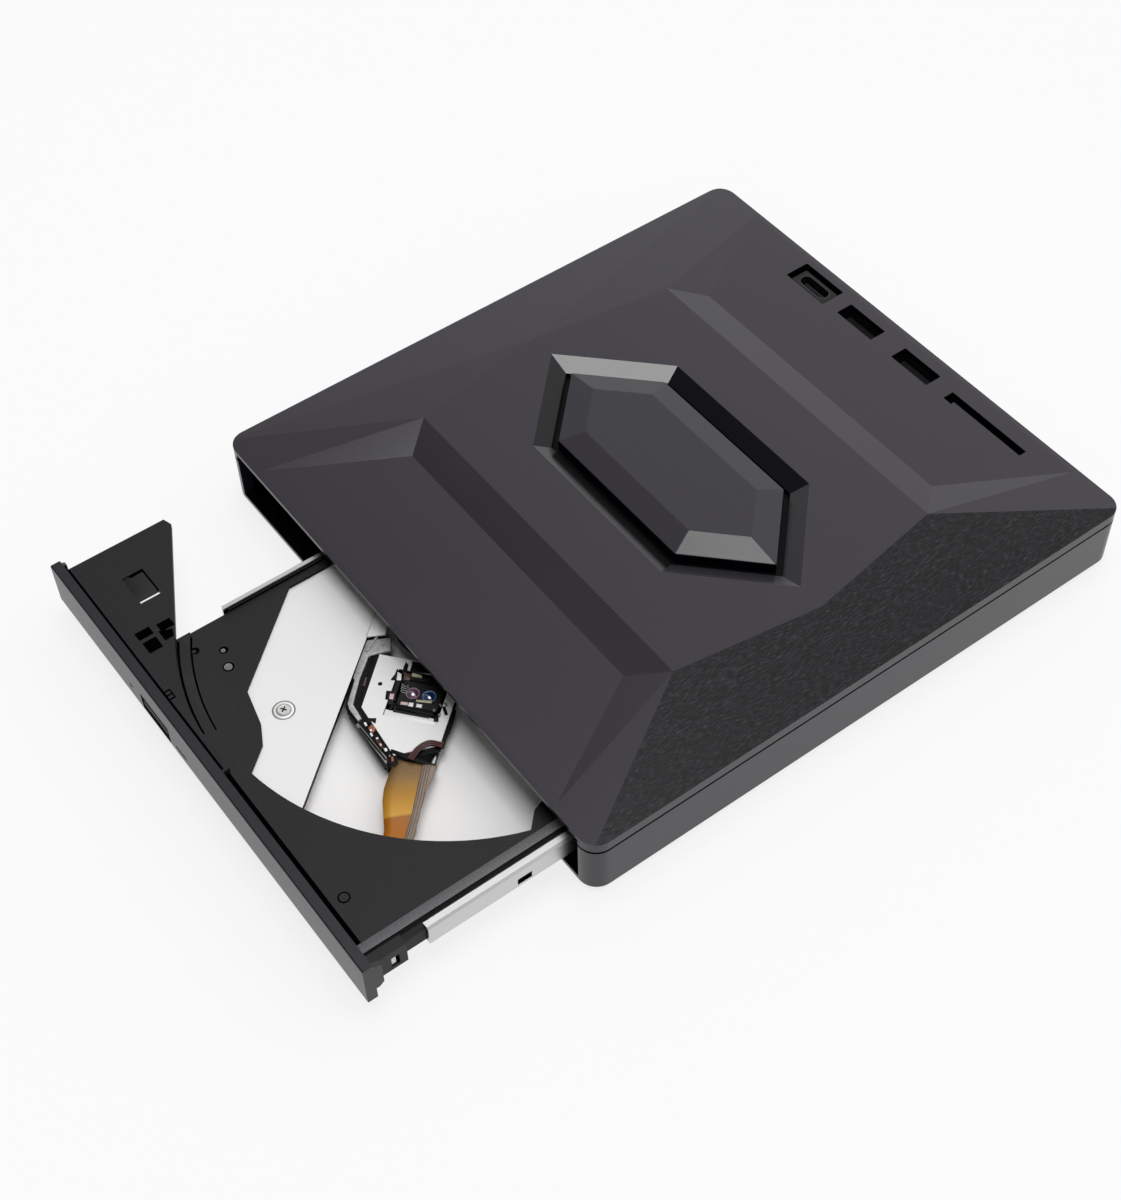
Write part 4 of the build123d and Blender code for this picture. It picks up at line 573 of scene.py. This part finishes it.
disc(small, -17.15, -107.1, 0.95, recess_top, recess_top + 0.2, 3)
disc(small, -21.7, -105.7, 0.55, recess_top, recess_top + 0.15, 3)
for x, y, long, wide in ((-34.9, -117.6, 2.3, 3.6), (-34.3, -112.6, 2.4, 3.3), (-31.0, -117.6, 3.4, 3.3)):
    bar(small, x, y, long, wide, wing_top, wing_top + 0.04, 0, 0.0, on_case, 1)
slab(small, [(-33.6, -114.8), (-32.4, -111.9), (-30.5, -112.6), (-30.4, -114.8)], wing_top, wing_top + 0.04, 0.0,
     on_case, 1)
for x, y, long, wide in ((-18.2, -121.4, 0.4, 1.2), (-17.0, -121.4, 0.4, 1.2), (-15.8, -121.4, 0.4, 1.2),
                         (-17.0, -120.7, 2.8, 0.3)):
    bar(small, x, y, long, wide, wing_top, wing_top + 0.03, 0, 0.0, on_case, 1)
bar(small, -27.4, -122.3, 68.0, 0.7, wing_top, wing_top + 0.03, 0, 0.0, on_case, 1)
bar(small, 32.2, -121.9, 50.5, 1.5, deck_top, deck_top + 0.03, 0, 0.0, on_case, 1)
bar(small, 7.6, -121.9, 3.6, 1.6, 11.3, 11.92, 0, 0.0, on_case)
disc_x, disc_y = 1.3, -59.5
# Arcs round the disc: black slabs as painted shade under the wing's edge and along the recess's step.
for radius, half_width, low, start in ((61.2, 0.27, 11.88, 239.8), (58.42, 0.2, 11.38, 238.6)):
    steps = [radians(start + (264.5 - start) * step / 40) for step in range(41)]
    outer, inner = radius + half_width, radius - half_width
    ends = [(disc_x + outer * cos(turn), disc_y + outer * sin(turn)) for turn in steps]
    ends += [(disc_x + inner * cos(turn), disc_y + inner * sin(turn)) for turn in steps[::-1]]
    slab(small, ends, low, low + 0.05, 0.0, on_case, 1)
for x, y, radius in ((-25.4, -110.6, 1.0), (-21.8, -105.5, 1.05), (-17.2, -107.0, 1.35)):
    disc(small, x, y, radius, recess_top - 0.02, recess_top + 0.02, 1)
disc(small, 46.8, -118.3, 1.35, deck_top - 0.01, deck_top + 0.03, 1)
# Black for painted shade in pits, gaps and creases, and for the seam lines and marks.
shade_and_seam_black = speckled("painted_shade_and_seam_black", (0.0002, 0.0002, 0.0003), (0.0012, 0.0011, 0.0014), 900, 0.6)
shade_and_seam_black.node_tree.nodes["Principled BSDF"].inputs["Specular IOR Level"].default_value = 0.0
placed("tray_details", small, "tray", "tray_plastic", tray_finish, shade_and_seam_black, strip_finish, grey_finish)

# Screw of the cover plate: plated steel with a cross in its head, driven through the plate into the tray, where
# a ring is pressed in the sheet round it.
screw = bmesh.new()
screw_x, screw_y, sheet_top = -0.54, -103.35, 10.6
for radius, rise, made in ((2.55, 0.04, 2), (2.3, 0.07, 1), (1.75, 0.11, 2)):
    disc(screw, screw_x, screw_y, radius, sheet_top, sheet_top + rise, made)
disc(screw, screw_x, screw_y, 1.6, sheet_top, sheet_top + 0.4, 0, 0.8)
# The cross is a thin black slab on the head, painted shade for its recess.
bar(screw, screw_x, screw_y, 1.5, 0.34, 11.0, 11.03, 35, 0.0, on_case, 3)
bar(screw, screw_x, screw_y, 0.34, 1.5, 11.0, 11.03, 35, 0.0, on_case, 3)
bright_screw = speckled("screw_plating", (0.5, 0.5, 0.48), (0.8, 0.79, 0.76), 700, 0.3, 0.3)
head = placed("cover_screw", screw, "tray", "screw_steel", bright_screw, plate_finish, grey_finish, black_finish)
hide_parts("plate_screw")

# Right rail's slot: punched through the steel, where the tray's catch snaps in. A black slab fills it as painted
# shade.
slot_mesh = bmesh.new()
slab(slot_mesh, [(63.0, -87.85), (63.37, -87.85), (63.37, -84.35), (63.0, -84.35)], 8.0, 9.8, 0.0, on_case)
placed("rail_slot_painted_shade", slot_mesh, "rails", "rail_steel", shade_and_seam_black)

# Side bracket's window: a bright steel tab of the catch's spring stands in it.
tab = bmesh.new()
slab(tab, [(62.0, -117.9), (62.75, -117.9), (62.75, -116.9), (62.0, -116.9)], 7.4, 9.6, 0.05, on_case)
placed("bracket_tab", tab, "tray", "bright_plate", plate_finish)

# Bezel's front: black slabs round the button as painted shade in its hollow. The button is moulded in black, as
# the lamp's light pipe is in smoked clear plastic.
front = bmesh.new()
for left, right, low, high in ((-24.2, -12.2, 8.45, 9.2), (-24.2, -12.2, 4.4, 5.55), (-24.2, -24.0, 5.55, 8.45),
                               (-12.4, -12.2, 5.55, 8.45)):
    slab(front, [(left, -125.43), (right, -125.43), (right, -125.3), (left, -125.3)], low, high, 0.0, on_case)
placed("button_gap_painted_shade", front, "tray", "bezel_plastic", shade_and_seam_black)
dressed(["eject_button"], black_finish)
smoked_finish = speckled("smoked_clear", (0.002, 0.002, 0.002), (0.006, 0.006, 0.007), 900, 0.15)
dressed(["light_pipe"], smoked_finish)

# Lenses: two domes of coated glass, one blue and one pinkish, each glued into its seat in the holder inside a
# pale ring.
blue_ring = speckled("blue_ring", (0.08, 0.14, 0.3), (0.35, 0.5, 0.75), 1500, 0.2)
rose_ring = speckled("rose_ring", (0.16, 0.08, 0.14), (0.5, 0.34, 0.46), 1500, 0.2)
for node, glass_slot, v, color, deep, ring_color in (
        ("lens_blue", "lens_blue_glass", -0.4, (0.02, 0.05, 0.2), (0.004, 0.008, 0.05), blue_ring),
        ("lens_red", "lens_pink_glass", -4.1, (0.2, 0.09, 0.17), (0.03, 0.01, 0.03), rose_ring)):
    lens_finish, lens = finish(node + "_coating", color, 0.08, Coat_Weight=1.0, Coat_IOR=2.4)
    attach(lens_finish, "Base Color", tinted(lens, spots(lens, 1100), deep, color))
    attach(lens_finish, "Roughness", 0.04 + spots(lens, 2000) * 0.04)
    dome = bmesh.new()
    middle = on_sled(21.7, v, 9.72)
    bmesh.ops.create_uvsphere(dome, u_segments=40, v_segments=24, radius=0.00195)
    bmesh.ops.bisect_plane(dome, geom=dome.verts[:] + dome.edges[:] + dome.faces[:], plane_co=(0, 0, 0.00135),
                           plane_no=(0, 0, 1), clear_inner=True)
    bmesh.ops.translate(dome, verts=dome.verts, vec=middle - Vector((0, 0, 0.00115)))
    ring_profile = [dome.verts.new(middle + Vector((across, 0, rise)))
                    for across, rise in ((0.00132, 0.0003), (0.00145, 0.00042), (0.0016, 0.0003))]
    ring_edges = [dome.edges.new(pair) for pair in zip(ring_profile, ring_profile[1:])]
    bmesh.ops.spin(dome, geom=ring_profile + ring_edges, cent=middle, axis=(0, 0, 1), angle=2 * pi, steps=40,
                   use_merge=True, use_duplicate=False)
    bmesh.ops.remove_doubles(dome, verts=dome.verts, dist=1e-6)
    for face in dome.faces:
        from_middle = (face.calc_center_median() - middle).xy.length
        face.material_index = 1 if from_middle > 0.00133 else 0
    glass = placed(node + "_dome", dome, "lens", glass_slot, lens_finish, ring_color)
    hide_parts(node)

# Ribbon: printed orange film, soldered at the pickup and clamped under the tray's deck. It is brownish where it
# is doubled at the pickup; the golden over its arch is painted light, and the deeper orange beyond the crease that
# runs slanted across it is painted shade. Its layers show along the right edge, with dark strips of painted shade
# at their edges.
film_finish, film = finish("orange_film_painted_light_and_shade", (0.5, 0.24, 0.04), 0.22)
spot = film.node("SeparateXYZ", inputs={0: film.node("TexCoord", output=3)})
spot_y = Wire(film.tree, spot.socket.node.outputs["Y"])
run = (spot - 0.0013) * 642.8 + (spot_y + 0.0595) * -766.0
across_film = (spot - 0.0013) * 766.0 + (spot_y + 0.0595) * 642.8
streak = spots(film, 260, 2.0)
crease = run + across_film * 0.45 + streak * 0.8
shade = film.node("MapRange", inputs={"Value": crease, "From Min": 37.0, "From Max": 66.0, "To Min": 0.0,
                                      "To Max": 1.0})
# Colour along the film: painted light over the arch, painted shade beyond the crease.
painted_light_and_shade_hue = film.node("ValToRGB", {"stops": [(0.0, (0.13, 0.075, 0.035)), (0.2, (0.22, 0.12, 0.035)),
                                       (0.4, (0.46, 0.22, 0.025)), (0.555, (0.62, 0.32, 0.035)),
                                       (0.575, (0.36, 0.12, 0.005)), (1.0, (0.55, 0.17, 0.006))]}, {0: shade})
attach(film_finish, "Base Color", painted_light_and_shade_hue)
attach(film_finish, "Roughness", 0.18 + streak * 0.1)
layer_finish = speckled("film_layers", (0.2, 0.15, 0.115), (0.34, 0.26, 0.2), 500, 0.3)
# Dark strips at the layers' edges: painted shade.
painted_shade_edge_finish = speckled("film_edge_painted_shade", (0.05, 0.03, 0.02), (0.1, 0.06, 0.04), 900, 0.4)


film_start, film_end = 38.6, 73.6


def film_strip(shape, left, right, lift, made):
    """Lays a strip of film along the ribbon's arch, between two edges given at places along it."""
    arch = [(film_start, 9.35), (41.0, 9.55), (45.0, 10.1), (49.5, 10.0), (55.0, 9.45), (61.0, 9.2), (66.0, 8.9),
            (68.6, 7.7), (71.0, 6.4), (film_end, 5.85)]
    sheet_mesh = bmesh.ops.create_grid(shape, x_segments=44, y_segments=4, size=0.5)["verts"]
    between = lambda line, u: next(a[1] + (b[1] - a[1]) * (u - a[0]) / (b[0] - a[0])
                                   for a, b in zip(line, line[1:]) if u <= b[0] or b is line[-1])
    for corner in sheet_mesh:
        u = film_start + (corner.co.x + 0.5) * 34.9
        v = between(left, u) + (between(right, u) - between(left, u)) * (corner.co.y + 0.5)
        corner.co = on_sled(u, v, between(arch, u) + lift)
    bmesh.ops.smooth_vert(shape, verts=sheet_mesh, factor=0.5, use_axis_z=True)
    bmesh.ops.smooth_vert(shape, verts=sheet_mesh, factor=0.5, use_axis_z=True)
    for face in {face for corner in sheet_mesh for face in corner.link_faces}:
        face.material_index = made


ribbon = bmesh.new()
left_edge = [(film_start, -3.0), (43.0, -3.2), (46.8, -3.1), (49.5, -2.6), (52.0, -1.7), (56.0, -0.3), (62.0, 0.3),
             (film_end, 0.3)]
right_edge = [(film_start, 6.05), (42.0, 5.9), (46.0, 5.75), (52.8, 5.8), (55.2, 6.3), (62.0, 6.0), (film_end, 6.0)]
film_strip(ribbon, left_edge, right_edge, 0.0, 0)
for number, start in enumerate((3.4, 3.9, 4.5, 5.1)):
    bent = [(film_start, start - 0.5), (43.0, start), (46.8, start + 0.45), (51.0, start + 0.75),
            (56.0, start + 0.9), (film_end, start + 0.9)]
    beside = [(u, v + 0.13) for u, v in bent]
    film_strip(ribbon, bent, right_edge, 0.16 + number * 0.14, 1)
    film_strip(ribbon, bent, beside, 0.18 + number * 0.14, 2)
ribbon_piece = placed("ribbon_film", ribbon, "tray", "ribbon_film", film_finish, layer_finish, painted_shade_edge_finish)
on_sled(75.8, 0, 9)
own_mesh(ribbon_piece)
sheet_wall = ribbon_piece.modifiers.new("film_thickness", "SOLIDIFY")
sheet_wall.thickness = 0.0001
sheet_wall.offset = -1
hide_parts("pickup_ribbon")

# Wires: three thin ones in dark red enamel, laid side by side from the ribbon round to the pickup's corner.
wire_finish, enamel = finish("enamelled_wire", (0.05, 0.008, 0.006), 0.3)
attach(wire_finish, "Roughness", 0.25 + spots(enamel, 2000) * 0.1)
for number in range(3):
    line = bpy.data.curves.new("wire", "CURVE")
    line.dimensions = "3D"
    line.bevel_depth = 0.00026
    line.bevel_resolution = 2
    spline = line.splines.new("NURBS")
    shift = (number - 1) * 0.45
    way = ((38.4 + shift * 0.3, 0.2 + shift), (36.4 + shift * 0.6, 0.5 + shift), (34.2 + shift, 1.6 + shift * 0.6),
           (32.9 + shift, 3.4 + shift * 0.2), (33.4 + shift, 5.2), (33.2 + shift, 5.9))
    spline.points.add(len(way) - 1)
    for point, (u, v) in zip(spline.points, way):
        point.co = (*on_sled(u, v, 9.72 + 0.26), 1)
    spline.order_u = 4
    spline.use_endpoint_u = True
    strand = bpy.data.objects.new("laser_wire_%d" % number, line)
    bpy.context.scene.collection.objects.link(strand)
    line.materials.append(wire_finish)
    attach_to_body(strand, "sled")
    if number == 1:
        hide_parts("laser_wires")
